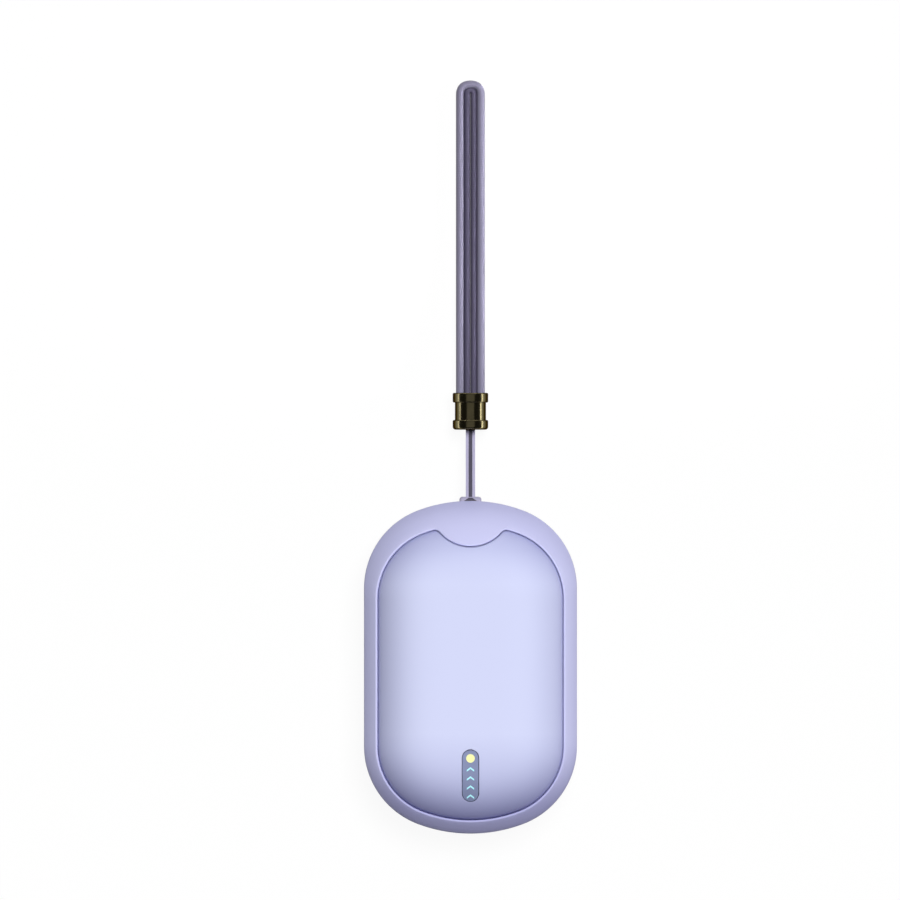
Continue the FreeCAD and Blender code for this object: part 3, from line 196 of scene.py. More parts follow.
# For each pair its middle in X, and Y and Z along its route, in mm.
LEAD_ROUTES = {
    "battery_leads": (-7.6, [(-22.0, 8.8), (-24.0, 9.2), (-25.8, 10.7), (-28.2, 10.9),
                             (-30.6, 9.92)]),
    "back_heater_leads": (7.6, [(-22.4, 3.35), (-24.6, 3.6), (-27.0, 5.2), (-29.2, 7.1),
                                (-31.6, 7.62)]),
    "front_heater_leads": (5.0, [(-20.6, 24.46), (-23.6, 23.85), (-25.5, 20.55), (-25.9, 15.6),
                                 (-26.8, 12.0), (-28.8, 10.1), (-31.2, 9.92)])}
leads = {}
for node, (x, route) in LEAD_ROUTES.items():
    pair = []
    for side in (-LEAD_OFFSET, LEAD_OFFSET):
        places = [((x + side) * MM, y * MM, z * MM) for y, z in route]
        lead, path = soft_line(node + "_pair", places)
        pair.append(made_tube(lead, LEAD_RADIUS * MM))
    pick(*pair)
    bpy.ops.object.join()
    leads[node] = pair[0]
    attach(leads[node], "housing")
    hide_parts(node)
    print(node, path_length(path), "mm")

# %% [markdown]
# A block of closed-cell foam presses the battery against the back heater. Squeezed between
# two plates, foam bulges at its sides. A simulation could press it, but its shape is known:
# a cube at the pad's size gets round corners, is divided finely, and its sides are pushed
# out, most at half height.

# %% Foam pad
PAD_ROUNDING, PAD_BULGE = 0.8, 0.3


def edit_all():
    """Open the active piece in edit mode with everything selected."""
    bpy.ops.object.mode_set(mode="EDIT")
    bpy.ops.mesh.select_all(action="SELECT")


def close_mesh():
    """Turn all faces outwards and leave edit mode."""
    bpy.ops.mesh.select_all(action="SELECT")
    bpy.ops.mesh.normals_make_consistent(inside=False)
    bpy.ops.object.mode_set(mode="OBJECT")


low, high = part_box("battery_pad")
pad_size = [top - bottom for bottom, top in zip(low, high)]
pad_middle = [(top + bottom) / 2 for bottom, top in zip(low, high)]
bpy.ops.object.select_all(action="DESELECT")
bpy.ops.mesh.primitive_cube_add(size=1, location=pad_middle)
foam_pad = bpy.context.object
foam_pad.name = foam_pad.data.name = "battery_foam_pad"
foam_pad.scale = [length - 2 * PAD_BULGE * MM * (axis < 2) for axis, length in enumerate(pad_size)]
bpy.ops.object.transform_apply(location=True, rotation=True, scale=True)
edit_all()
bpy.ops.mesh.bevel(offset=PAD_ROUNDING * MM, segments=3, affect="EDGES")
bpy.ops.mesh.select_all(action="SELECT")
bpy.ops.mesh.subdivide(number_cuts=5)
pad_mesh = bmesh.from_edit_mesh(foam_pad.data)
for corner in pad_mesh.verts:
    bulge = 1 - (2 * (corner.co.z - pad_middle[2]) / pad_size[2]) ** 2
    for axis in (0, 1):
        offset = corner.co[axis] - pad_middle[axis]
        corner.co[axis] += PAD_BULGE * MM * bulge * 2 * offset / pad_size[axis]
bmesh.update_edit_mesh(foam_pad.data)
close_mesh()
shade()
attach(foam_pad, "housing")
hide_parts("battery_pad")
print("foam pad", [round(length / MM, 1) for length in foam_pad.dimensions], "mm")

# %% [markdown]
# The front panel is a pillow-shaped moulding with a round scallop at its strap end. Its
# outline is a chain of arcs: wide ends, tighter corners, straight sides, and the scallop
# with rounded lips. A traced curve would fit one size only. A function gives the outline at
# any inset, always with the same number of corners, so that rings fit inside each other.

# %% Outline of the panel
# The body's half width and the radii of its arcs, then the places of their centres, in mm.
PANEL_SIDE = 4.25
SIDE, CORNER, END = 32.0, 25.0, 45.0
CORNER_X, CORNER_HIGH, CORNER_LOW = 7.0, 20.535, -23.735
END_HIGH, END_LOW = 1.8, -5.0
# The scallop's radius, its centre, the inset that both belong to, and the radius of its lips.
NOTCH, NOTCH_Y, NOTCH_INSET, NOTCH_LIP = 12.3, 48.6, 4.1, 2.2
SIDE_STEPS = 20
TURN = math.acos(CORNER_X / (END - CORNER))


def arc_places(x, y, radius, start, end, count):
    """Places on an arc from its start up to, but not at, its end."""
    angles = [start + (end - start) * step / count for step in range(count)]
    return [(x + radius * math.cos(angle), y + radius * math.sin(angle)) for angle in angles]


def panel_outline(inset):
    """Places round the scalloped outline at some inset from the body's side, in mm."""
    grown = inset - NOTCH_INSET
    bite, ease, end = NOTCH + grown, NOTCH_LIP - grown, END - inset
    apart = NOTCH_Y - END_HIGH
    up = ((end - ease) ** 2 - (bite + ease) ** 2 + apart ** 2) / (2 * apart)
    ease_x, ease_y = math.sqrt((end - ease) ** 2 - up ** 2), END_HIGH + up
    shoulder = math.atan2(ease_y - END_HIGH, ease_x)
    lip_end = math.atan2(NOTCH_Y - ease_y, -ease_x)
    bite_start = math.atan2(ease_y - NOTCH_Y, ease_x)
    half = arc_places(0, END_LOW, end, -math.pi / 2, -TURN, count=16)
    half += arc_places(CORNER_X, CORNER_LOW, CORNER - inset, -TURN, 0, count=26)
    half += [(SIDE - inset, CORNER_LOW + (CORNER_HIGH - CORNER_LOW) * step / SIDE_STEPS)
             for step in range(SIDE_STEPS)]
    half += arc_places(CORNER_X, CORNER_HIGH, CORNER - inset, 0, TURN, count=24)
    half += arc_places(0, END_HIGH, end, TURN, shoulder, count=14)
    half += arc_places(ease_x, ease_y, ease, shoulder, lip_end, count=8)
    half += arc_places(0, NOTCH_Y, bite, bite_start, -math.pi / 2, count=18)
    return half + [(0, NOTCH_Y - bite)] + [(-x, y) for x, y in reversed(half[1:])]


print("panel outline", len(panel_outline(PANEL_SIDE)), "places")

# %% [markdown]
# The panel's face swells from its edge like a pillow. A flat top with a rolled edge would
# show a line where the roll stops. So the height is worked out from the distance to the
# edge: a round roll first, whose slope then dies out slowly. The scallop is left out of that
# distance, because it cuts through the finished pillow.

# %% Height of the pillow
PANEL_EDGE = 20.03
EDGE_ANGLE = 55
ROLL, EASED_FROM = 18.0, 9.0
EDGE_SLOPE = math.sin(math.radians(EDGE_ANGLE))
EASED_SLOPE = EDGE_SLOPE - EASED_FROM / ROLL
EASED_LENGTH = 2 * EASED_SLOPE * ROLL


def inset_at(x, y):
    """How far a place lies inside the panel's own oval, with the scallop left out."""
    x = abs(x)
    found = [SIDE - x]
    for corner_y, end_y, up in ((CORNER_HIGH, END_HIGH, 1), (CORNER_LOW, END_LOW, -1)):
        if math.atan2((y - end_y) * up, x) > TURN:
            found.append(END - math.hypot(x, y - end_y))
        elif (y - corner_y) * up > 0:
            found.append(CORNER - math.hypot(x - CORNER_X, y - corner_y))
    return min(found) - PANEL_SIDE


def crown(x, y):
    """Height of the panel's face: a round roll whose slope then fades to nothing."""
    inset = max(inset_at(x, y), 0)
    slope = EDGE_SLOPE - min(inset, EASED_FROM) / ROLL
    height = ROLL * (math.sqrt(1 - slope ** 2) - math.sqrt(1 - EDGE_SLOPE ** 2))
    # The sine of the slope falls with the square of what is left. Its tangent is about
    # the sine and half its cube, and these two terms are summed along the way.
    left = 1 - min(max((inset - EASED_FROM) / EASED_LENGTH, 0), 1)
    fade = EASED_SLOPE * (1 - left ** 3) / 3 + EASED_SLOPE ** 3 * (1 - left ** 7) / 14
    return PANEL_EDGE + height + EASED_LENGTH * fade


print("pillow top", round(crown(0, 0), 2), "mm, CAD", round(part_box("front_panel")[1][2] / MM, 2))

# %% [markdown]
# The panel is one closed loft. Separate loops could be bridged, two at a time. Here a circle
# is put on the first ring, and each next ring is extruded from the last one and moved to its
# place. Every corner has a number, which extruding copies, so it finds its own place.

# %% Loft by extruding ring after ring
MERGE = 0.02 * MM
THINNEST = 0.001 * MM


def start_ring(name, places):
    """A circle whose corners are put on the first ring."""
    bpy.ops.object.select_all(action="DESELECT")
    bpy.ops.mesh.primitive_circle_add(vertices=len(places), radius=1)
    piece = bpy.context.object
    piece.name = piece.data.name = name
    number = piece.data.attributes.new("corner_number", "INT", "POINT")
    for index, place in enumerate(places):
        piece.data.vertices[index].co = [part * MM for part in place]
        number.data[index].value = index
    edit_all()
    return piece


def next_ring(piece, places):
    """Extrude the ring that is selected and move each new corner to its place."""
    bpy.ops.mesh.extrude_region()
    mesh = bmesh.from_edit_mesh(piece.data)
    number = mesh.verts.layers.int["corner_number"]
    for corner in mesh.verts:
        if corner.select:
            corner.co = [part * MM for part in places[corner[number]]]
    bmesh.update_edit_mesh(piece.data)


def tidy_loft(piece):
    """Merge what meets, turn all faces outwards and shade them smoothly."""
    bpy.ops.mesh.select_all(action="SELECT")
    bpy.ops.mesh.remove_doubles(threshold=MERGE)
    bpy.ops.mesh.dissolve_degenerate(threshold=THINNEST)
    close_mesh()
    piece.data.attributes.remove(piece.data.attributes["corner_number"])
    shade()
    print(piece.name, len(piece.data.polygons), "faces")


# %% [markdown]
# A moulding has a wall, and a single bent surface would look like paper at its edge. So the
# rings begin on the middle line of the hollow underside, run out to the wall and down to its
# foot, come up outside over a small rounded lip, and close over the crown.

# %% Panel, from its hollow underside to its crown
PANEL_BOTTOM = 17.63
PANEL_WALL = 1.6
SPINE = (-21.0, 17.0)
RING_STEPS = 26
# The last ring stops just short of the middle line, where its two sides are merged.
SHARES = [step / RING_STEPS for step in range(1, RING_STEPS)] + [0.9999]
# How far in from the panel's side, and how far below its face, the lip's rings lie.
LIP = ((0, 0.62), (0.03, 0.4), (0.1, 0.2), (0.22, 0.06), (0.4, 0.0))


def inward(ring, shares):
    """Rings between a ring and the panel's middle line."""
    middle = [(0, min(max(y, SPINE[0]), SPINE[1])) for x, y in ring]
    for share in shares:
        yield [(x + (mx - x) * share, y + (my - y) * share)
               for (x, y), (mx, my) in zip(ring, middle)]


def at_height(ring, drop):
    """A ring on the pillow's face, or some way below it."""
    return [(x, y, crown(x, y) - drop) for x, y in ring]


outer, inner = panel_outline(PANEL_SIDE), panel_outline(PANEL_SIDE + PANEL_WALL)
rings = [at_height(ring, PANEL_WALL) for ring in reversed(list(inward(inner, SHARES)))]
rings += [at_height(inner, PANEL_WALL), [(x, y, PANEL_BOTTOM) for x, y in inner],
          [(x, y, PANEL_BOTTOM) for x, y in outer]]
rings += [at_height(panel_outline(PANEL_SIDE + step), drop) for step, drop in LIP]
lip_top = panel_outline(PANEL_SIDE + LIP[-1][0])
rings += [at_height(ring, 0) for ring in inward(lip_top, SHARES)]
front_panel = start_ring("pillow_front_panel", rings[0])
for places in rings[1:]:
    next_ring(front_panel, places)
tidy_loft(front_panel)
print("panel of", len(rings), "rings")

# %% [markdown]
# A pill-shaped slot lets the key through. Its outline doesn't follow the panel's rings, so
# it is cut out with a boolean instead of being modelled into them. The tool is the same
# kind of loft: a pill-shaped ring, filled, and extruded upwards right through the panel.

# %% Slot for the key
KEY_Y = -32.5
KEY_WIDTH, KEY_LENGTH, KEY_GAP = 4.8, 15.4, 0.2
SLOT = (KEY_WIDTH + 2 * KEY_GAP, KEY_LENGTH + 2 * KEY_GAP)
TOOL_BOTTOM, TOOL_HEIGHT = 15, 17


def pill_outline(width, length, count=25):
    """Places round a pill that stands along Y at the key's place, none on the middle line."""
    radius, reach = width / 2, (length - width) / 2
    top = arc_places(0, KEY_Y + reach, radius, 0, math.pi, count)
    bottom = arc_places(0, KEY_Y - reach, radius, math.pi, 2 * math.pi, count)
    return top + [(-radius, KEY_Y + reach)] + bottom + [(radius, KEY_Y - reach)]


def cut_with(piece, tool):
    """Take a tool away from a piece, and the tool out of the scene."""
    pick(piece)
    cutter = piece.modifiers.new("slot", "BOOLEAN")
    cutter.object, cutter.operation, cutter.solver = tool, "DIFFERENCE", "EXACT"
    bpy.ops.object.modifier_apply(modifier=cutter.name)
    bpy.data.objects.remove(tool)


slot_tool = start_ring("key_slot_tool", [(x, y, TOOL_BOTTOM) for x, y in pill_outline(*SLOT)])
bpy.ops.mesh.edge_face_add()
bpy.ops.mesh.extrude_region()
bpy.ops.transform.translate(value=(0, 0, TOOL_HEIGHT * MM))
tidy_loft(slot_tool)
cut_with(front_panel, slot_tool)
print("slotted panel", len(front_panel.data.polygons), "faces")

# %% [markdown]
# A moulded edge is never knife-sharp, and a small round catches the light. A Bevel modifier
# would round every sharp edge of the panel. Here the slot's upper edge alone is picked out,
# as the sharp edges close to the key that lie on the panel's face, and bevelled a little.

# %% Rounded edge of the slot
SLOT_ROUNDING = 0.25
FACE_DEPTH = 0.3
SHARP = math.radians(35)

bpy.ops.object.mode_set(mode="EDIT")
bpy.ops.mesh.select_all(action="DESELECT")
bpy.ops.mesh.select_mode(type="EDGE")
panel_mesh = bmesh.from_edit_mesh(front_panel.data)
for edge in panel_mesh.edges:
    x, y, z = [sum(part) / 2 / MM for part in zip(*(corner.co for corner in edge.verts))]
    near_key = abs(x) < KEY_WIDTH and abs(y - KEY_Y) < KEY_LENGTH
    on_face = near_key and z > crown(x, y) - FACE_DEPTH
    edge.select_set(on_face and edge.calc_face_angle(0) > SHARP)
bmesh.update_edit_mesh(front_panel.data)
print("slot edge", sum(edge.select for edge in panel_mesh.edges), "edges")
bpy.ops.mesh.bevel(offset=SLOT_ROUNDING * MM, segments=3, affect="EDGES", clamp_overlap=True)
bpy.ops.mesh.select_mode(type="VERT")
bpy.ops.object.mode_set(mode="OBJECT")
shade()
print("panel with a rounded slot", len(front_panel.data.polygons), "faces")

# %% [markdown]
# Below its rim the panel has snap legs, which click behind the frame. They could be built
# from small hooked boxes, but their shape is right in the CAD model. So a copy of the CAD
# panel is merged and cut off level with a bisect, and the legs that stay are joined to the
# new panel.

# %% Snap legs
LEG_TOP = 18.2
LEG_MERGE = 0.002 * MM

pick(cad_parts["front_panel"])
bpy.ops.object.duplicate()
snap_legs = bpy.context.object
snap_legs.name = "panel_snap_legs"
edit_all()
bpy.ops.mesh.remove_doubles(threshold=LEG_MERGE)
bpy.ops.mesh.bisect(plane_co=(0, 0, LEG_TOP * MM), plane_no=(0, 0, 1), use_fill=True,
                    clear_outer=True)
close_mesh()
print("snap legs", len(snap_legs.data.polygons), "faces")
pick(front_panel, snap_legs)
bpy.ops.object.join()
shade()
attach(front_panel, "housing")
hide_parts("front_panel")

# %% [markdown]
# The frame is the sloped rim round the panel. Its shape is right as it is, but its CAD mesh
# is loose triangles, and a few thin ones in its slope catch the light as specks. Modelling
# it again could only lose its fit, so a copy is merged, its thin triangles are dissolved,
# and it is shaded smoothly again. The thermistor's bead has a stray triangle at each pole
# and is mended in the same way.

# %% Front frame and thermistor's bead
MENDED_ANGLE = 30


def merged_copy(name, node):
    """A copy of a CAD node without doubled corners and thin triangles."""
    piece = bpy.data.objects.new(name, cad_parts[node].data.copy())
    scene.collection.objects.link(piece)
    pick(piece)
    edit_all()
    bpy.ops.mesh.customdata_custom_splitnormals_clear()
    bpy.ops.mesh.remove_doubles(threshold=MERGE)
    bpy.ops.mesh.dissolve_degenerate(threshold=MERGE)
    close_mesh()
    shade(MENDED_ANGLE)
    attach(piece, "housing")
    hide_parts(node)
    print(name, len(piece.data.polygons), "faces, CAD", len(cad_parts[node].data.polygons))
    return piece


front_frame = merged_copy("sloped_front_frame", "front_frame")
thermistor = merged_copy("thermistor_bead", "thermistor")

# %% [markdown]
# Finishes are node materials. Masks for them are sums and products of sockets, and each one
# takes a Math node and two links. A small class wraps a socket and overloads the operators,
# so that a mask is written as it would be on paper.

# %% Sums of sockets
class Field:
    """One socket of a finish that takes part in arithmetic."""

    def __init__(self, finish, socket):
        self.finish, self.socket = finish, socket

    def sum_of(self, operation, first, second):
        return self.finish.node("ShaderNodeMath", {"operation": operation}, {0: first, 1: second})

    def __add__(self, other):
        return self.sum_of("ADD", self, other)

    def __radd__(self, other):
        return self.sum_of("ADD", other, self)

    def __sub__(self, other):
        return self.sum_of("SUBTRACT", self, other)

    def __rsub__(self, other):
        return self.sum_of("SUBTRACT", other, self)

    def __mul__(self, other):
        return self.sum_of("MULTIPLY", self, other)

    def __rmul__(self, other):
        return self.sum_of("MULTIPLY", other, self)

    def __gt__(self, limit):
        return self.sum_of("GREATER_THAN", self, limit)


# %% [markdown]
# A second class holds a material in the making. Its node method adds any node from its type,
# its settings and what goes into its sockets. The short methods after it name what the
# finishes of this object are made from: places, noises, waves, shares of a range and relief.

# %% A finish and its nodes
class Finish:
    """A material in the making, with its node tree and its shader."""

    def __init__(self, name, **constants):
        self.material = bpy.data.materials.new(name)
        self.material.use_nodes = True
        self.tree = self.material.node_tree
        self.shader = self.tree.nodes["Principled BSDF"]
        self.set(**constants)

    def node(self, kind, settings=None, sockets=None, output=0):
        """Add a node: its settings first, then the values or links of its sockets."""
        added = self.tree.nodes.new(kind)
        for name, setting in (settings or {}).items():
            setattr(added, name, setting)
        for name, content in (sockets or {}).items():
            self.feed(added.inputs[name], content)
        return Field(self, added.outputs[output])

    def feed(self, socket, content):
        """Link a field to a socket, or set the socket's own value."""
        if isinstance(content, Field):
            self.tree.links.new(content.socket, socket)
        elif socket.type == "RGBA" and len(content) == 3:
            socket.default_value = (*content, 1)
        else:
            socket.default_value = content

    def set(self, **contents):
        """Feed the shader's sockets; words in a socket's name are joined by underscores."""
        for name, content in contents.items():
            words = name.replace("_", " ").title().replace("Ior", "IOR")
            self.feed(self.shader.inputs[words], content)
        return self

    def place(self, kind="Object"):
        return self.node("ShaderNodeTexCoord", output=kind)

    def along(self, axis, kind="Object"):
        """Distance along X, Y or Z, in metres, or along a UV map."""
        return self.node("ShaderNodeSeparateXYZ", {}, {0: self.place(kind)},
                         output="XYZ".index(axis))

    def noise(self, scale, detail=3, stretch=(1, 1, 1)):
        where = self.node("ShaderNodeVectorMath", {"operation": "MULTIPLY"},
                          {0: self.place(), 1: stretch})
        return self.node("ShaderNodeTexNoise", {},
                         {"Vector": where, "Scale": scale, "Detail": detail})

    def wave(self, field):
        return self.node("ShaderNodeMath", {"operation": "SINE"}, {0: field})

    def share(self, field, start, end, most=1.0):
        """Nothing at a field's start, and growing to the most at its end."""
        return self.node("ShaderNodeMapRange", {}, {"Value": field, "From Min": start,
                                                    "From Max": end, "To Max": most})

    def mix(self, share, one, two):
        """A colour between two."""
        return self.node("ShaderNodeMix", {"data_type": "RGBA"}, {0: share, 6: one, 7: two},
                         output=2)

    def relief(self, height, depth, strength=1.0):
        """Feed the normal with a bump of some depth in metres."""
        bump = self.node("ShaderNodeBump", {},
                         {"Height": height, "Distance": depth, "Strength": strength})
        return self.set(normal=bump)


# %% [markdown]
# The housing is moulded in lavender plastic with a fine satin grain. Fresh mouldings are
# never quite even: the colour drifts slightly and the gloss varies with the tool's polish.
# Painted images would have to fit each piece's UV map. Two noises need none: a wide one for
# colour and gloss, and a fine one for the grain.

# %% Moulded plastics
def wear(finish, *pieces):
    """Give pieces a finish in place of what they had."""
    for piece in pieces:
        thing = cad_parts[piece] if isinstance(piece, str) else piece
        thing.data.materials.clear()
        thing.data.materials.append(finish.material)
    print(finish.material.name, "on", len(pieces))


def satin_plastic(name, colour, deeper, roughness, grain, **constants):
    """A moulded plastic, with the depth of its grain in mm."""
    finish = Finish(name, **constants)
    drift = finish.noise(scale=18, detail=2)
    finish.tone = finish.mix(drift, colour, deeper)
    finish.set(base_color=finish.tone, roughness=roughness + 0.08 * drift)
    return finish.relief(finish.noise(scale=2600, detail=2), grain * MM, strength=0.35)


shell_satin = satin_plastic("lavender_shell_satin", (0.65, 0.66, 0.945), (0.625, 0.635, 0.92),
                            roughness=0.4, grain=0.02, specular_ior_level=0.4)
panel_satin = satin_plastic("lavender_panel_satin", (0.685, 0.72, 0.97), (0.67, 0.705, 0.96),
                            roughness=0.42, grain=0.012, specular_ior_level=0.3)
wear(shell_satin, "back_shell", front_frame)
wear(panel_satin, front_panel)
wear(satin_plastic("black_moulded_plastic", (0.012, 0.012, 0.014), (0.022, 0.022, 0.025),
                   roughness=0.38, grain=0.01),
     "switch_plunger", "socket_tongue", "ferrule_plug")
wear(satin_plastic("clear_key_stem", (0.72, 0.74, 0.8), (0.6, 0.62, 0.7),
                   roughness=0.16, grain=0.004, transmission_weight=0.5),
     "key_stem")

# %% [markdown]
# Shade is painted into the lavender: slopes are painted deeper and bluer than the flat parts, as
# they would look shaded. Layer Weight would follow the viewer, so the tilt of the surface itself
# sets a share of a deep violet. On the panel, painted shade also deepens the colour towards both
# ends, and on the frame and back towards the lower end. The upright walls in the panel's seam get
# no painted shade and stay pale.

# %% Painted shade on slopes and ends
BARE_FADE = 0.3
NO_BARE_WALLS = -2.0


def paint_slope_shade(finish, most, steepest, shade_violet, bare, ends):
    """Paint shade into a finish on slopes, but not on walls, and towards its ends in Y."""
    upright = finish.along("Z", "Normal")
    level = finish.node("ShaderNodeMath", {"operation": "MAXIMUM"}, {0: upright, 1: steepest})
    # Painted shade: a share of deep violet on slopes, capped on the steepest, none on walls below
    # bare.
    depth = most * (1 - level) * finish.share(upright, bare, bare + BARE_FADE)
    for start, end, deepest in ends:
        depth = depth + finish.share(finish.along("Y"), start * MM, end * MM, deepest)
    finish.set(base_color=finish.mix(depth, finish.tone, shade_violet))
    print(finish.material.name, "with pearl,", len(finish.tree.nodes), "nodes")


# Painted shade on frame and back on every wall and towards the lower end, on the panel towards
# both ends.
paint_slope_shade(shell_satin, most=0.45, steepest=0.4, shade_violet=(0.09, 0.08, 0.36), bare=NO_BARE_WALLS,
      ends=[(-22, -42, 0.3)])
paint_slope_shade(panel_satin, most=0.7, steepest=0.5, shade_violet=(0.06, 0.055, 0.36), bare=0.15,
      ends=[(-20, -45, 0.36), (25, 35, 0.12)])

# %% [markdown]
# The key is a smoked lens. The dot and the chevrons are clear inlays that small lights
# behind them make glow. Real lamps under glass would be slow to render and grainy, so their
# colour comes from emission as well as from paint.

# %% Key and its lit marks
smoked_lens = Finish("smoked_key_lens", specular_ior_level=0.5, coat_weight=0.3)
haze = smoked_lens.noise(scale=240, detail=2)
smoked_lens.set(base_color=smoked_lens.mix(haze, (0.225, 0.26, 0.43), (0.28, 0.32, 0.51)),
                roughness=0.22 + 0.08 * haze)


def times(colour, share):
    """A colour made brighter or darker."""
    return tuple(share * part for part in colour)


def lit_mark(name, colour, glow):
    """A clear inlay with its own light."""
    finish = Finish(name, roughness=0.3, emission_strength=1.0)
    depth = finish.noise(scale=900, detail=1)
    return finish.set(base_color=finish.mix(depth, colour, times(colour, 0.9)),
                      emission_color=finish.mix(depth, glow, times(glow, 0.85)))


wear(smoked_lens, "key_lens")
wear(lit_mark("yellow_lit_dot", (0.8, 0.8, 0.4), (0.26, 0.26, 0.1)), "indicator_dot")
wear(lit_mark("cyan_lit_chevrons", (0.36, 0.66, 0.74), (0.17, 0.38, 0.42)),
     "indicator_chevrons")

# %% [markdown]
# The ferrule is turned brass with a mottled brown patina. Its flanks are painted nearly black, a
# painted dark reflection of the dark surroundings that the metal would mirror there, while its top
# keeps the brass tone. The tilt of the surface tells flanks from top. Fine rings from turning run
# round its axis, which lies along Y. They are too shallow to model, so a sine wave along Y draws
# them as relief.

# %% Antique brass
TURNING_WAVE = 21000  # radians for each metre

aged_brass = Finish("antique_brass_turned", metallic=1.0, specular_tint=(0.3, 0.26, 0.18))
patina = aged_brass.noise(scale=420, detail=4)
turning = aged_brass.wave(aged_brass.along("Y") * TURNING_WAVE)
# Painted dark reflection: where the surface turns to the side, the brass is painted nearly black.
painted_dark_flank = aged_brass.share(aged_brass.along("Z", "Normal"), start=0.7, end=0.5, most=0.8)
brass_tone = aged_brass.mix(patina, (0.21, 0.18, 0.1), (0.15, 0.13, 0.07))
aged_brass.set(base_color=aged_brass.mix(painted_dark_flank, brass_tone, (0.035, 0.028, 0.015)),
               roughness=0.13 + 0.1 * patina)
aged_brass.relief(turning, 0.002 * MM, strength=0.15)
wear(aged_brass, "ferrule")

# %% [markdown]
# Cord and the dark tape are woven. Their threads could be modelled one by one, but each would be
# only a pixel or two wide. The UV maps run along and round each tube, so crossing sine waves on
# them give the diamonds of a braid at thread size, whatever way the strap bends.

# %% Woven strap
# Radians over the whole length of the UV map, and once round each tube.
WEAVE_ALONG = 2400
CORD_ROUND, SHADE_TAPE_ROUND = 88, 44


def woven(name, colour, deeper, weave_round, **constants):
    """A braid from waves that cross on a tube."""
    finish = Finish(name, **constants)
    u, v = finish.along("X", "UV"), finish.along("Y", "UV")
    one = finish.wave(u * WEAVE_ALONG + v * weave_round)
    two = finish.wave(u * WEAVE_ALONG - v * weave_round)
    braid = 0.5 + 0.5 * (one * two)
    finish.set(base_color=finish.mix(braid, deeper, colour))
    return finish.relief(braid, 0.04 * MM, strength=0.6)


wear(woven("strap_cord_weave", (0.235, 0.222, 0.315), (0.18, 0.168, 0.245), CORD_ROUND,
           roughness=0.42, specular_ior_level=0.3), wrist_strap)
# The tape's near-black colour is painted shade for the gap between the legs.
wear(woven("strap_gap_shade_weave", (0.105, 0.095, 0.155), (0.066, 0.059, 0.094), SHADE_TAPE_ROUND,
           roughness=0.9, specular_ior_level=0.1), lining)

# %% [markdown]
# The link between body and ferrule is a soft moulding: pale edges with a dark core. The core's
# dark colour is painted shade for the gap between the link's two strands. Rubber is rough, picks
# up a little dust in its grain, and shows no sharp reflections. One recipe serves both: a noise
# for the dust and a finer one for the grain.

# %% Soft link
RUBBER_GRAIN = 0.012 * MM


def soft_rubber(name, colour, dusty):
    """A rough moulding with a little dust on it."""
    finish = Finish(name, specular_ior_level=0.35)
    dust = finish.noise(scale=700, detail=4)
    finish.set(base_color=finish.mix(dust, colour, dusty), roughness=0.5 + 0.16 * dust)
    return finish.relief(finish.noise(scale=3200, detail=2), RUBBER_GRAIN, strength=0.4)


wear(soft_rubber("pale_link_rubber", (0.42, 0.395, 0.56), (0.46, 0.435, 0.6)), "strap_link")
# Painted shade: the dark core stands in for the shadow between the link's strands.
wear(soft_rubber("link_core_painted_shade", (0.075, 0.068, 0.098), (0.095, 0.088, 0.12)), "link_core")

# %% [markdown]
# Metals inside the body: rolled aluminium sheets show fine lines along the rolling
# direction. Anisotropy would need tangents on every piece, so the noise itself is stretched
# instead, along Y for the sheets. Nickel strips and screws are duller.

# %% Metals
def drawn_metal(name, colour, darker, roughness, stretch):
    """A bare metal with lines along the axis that its noise is stretched on."""
    finish = Finish(name, metallic=1.0)
    lines = finish.noise(scale=900, detail=3, stretch=stretch)
    finish.set(base_color=finish.mix(lines, colour, darker), roughness=roughness + 0.18 * lines)
    return finish.relief(lines, 0.006 * MM, strength=0.4)


wear(drawn_metal("rolled_aluminium", (0.76, 0.77, 0.79), (0.64, 0.65, 0.67),
                 roughness=0.24, stretch=(1, 0.04, 1)),
     "heat_spreader", "back_heat_plate")
wear(drawn_metal("nickel_strip", (0.66, 0.64, 0.58), (0.5, 0.49, 0.45),
                 roughness=0.22, stretch=(0.06, 1, 1)),
     "battery_tabs", "socket_shell")
wear(drawn_metal("plain_steel", (0.56, 0.56, 0.57), (0.4, 0.4, 0.41),
                 roughness=0.28, stretch=(1, 1, 0.1)),
     "case_screws", "board_screws", "anchor_pin")
wear(drawn_metal("pouch_laminate", (0.62, 0.63, 0.66), (0.5, 0.51, 0.54),
                 roughness=0.34, stretch=(0.3, 0.3, 0.3)),
     "battery_cell")

# %% [markdown]
# A heater film is amber polyimide with a thin printed track that winds to and fro. The track
# is as thin as paint, so it is drawn and not modelled. A sine wave across the film makes
# the runs where it is high, and a slower one along the film bends them.

# %% Heater films
RUN_WAVE, BEND_WAVE = 2100, 700  # radians for each metre
BEND_SIZE, TRACK_EDGE = 1.2, 0.45

film = Finish("polyimide_heater_film", roughness=0.25, coat_weight=0.4)
sway = film.wave(film.along("Y") * BEND_WAVE)
track = film.wave(film.along("X") * RUN_WAVE + BEND_SIZE * sway) > TRACK_EDGE
film.set(base_color=film.mix(track, (0.52, 0.2, 0.022), (0.2, 0.085, 0.03)))
film.relief(track, 0.02 * MM, strength=0.6)
wear(film, "front_heater_film", "back_heater_film")

# %% [markdown]
# Circuit boards are green with a slightly lighter tone over the copper underneath. A true
# layout isn't needed inside a closed body. Cells of a Voronoi pattern with straight edges
# look like areas of copper and the gaps between.

# %% Boards
COPPER_SCALE, COPPER_REACH = 420, 0.42

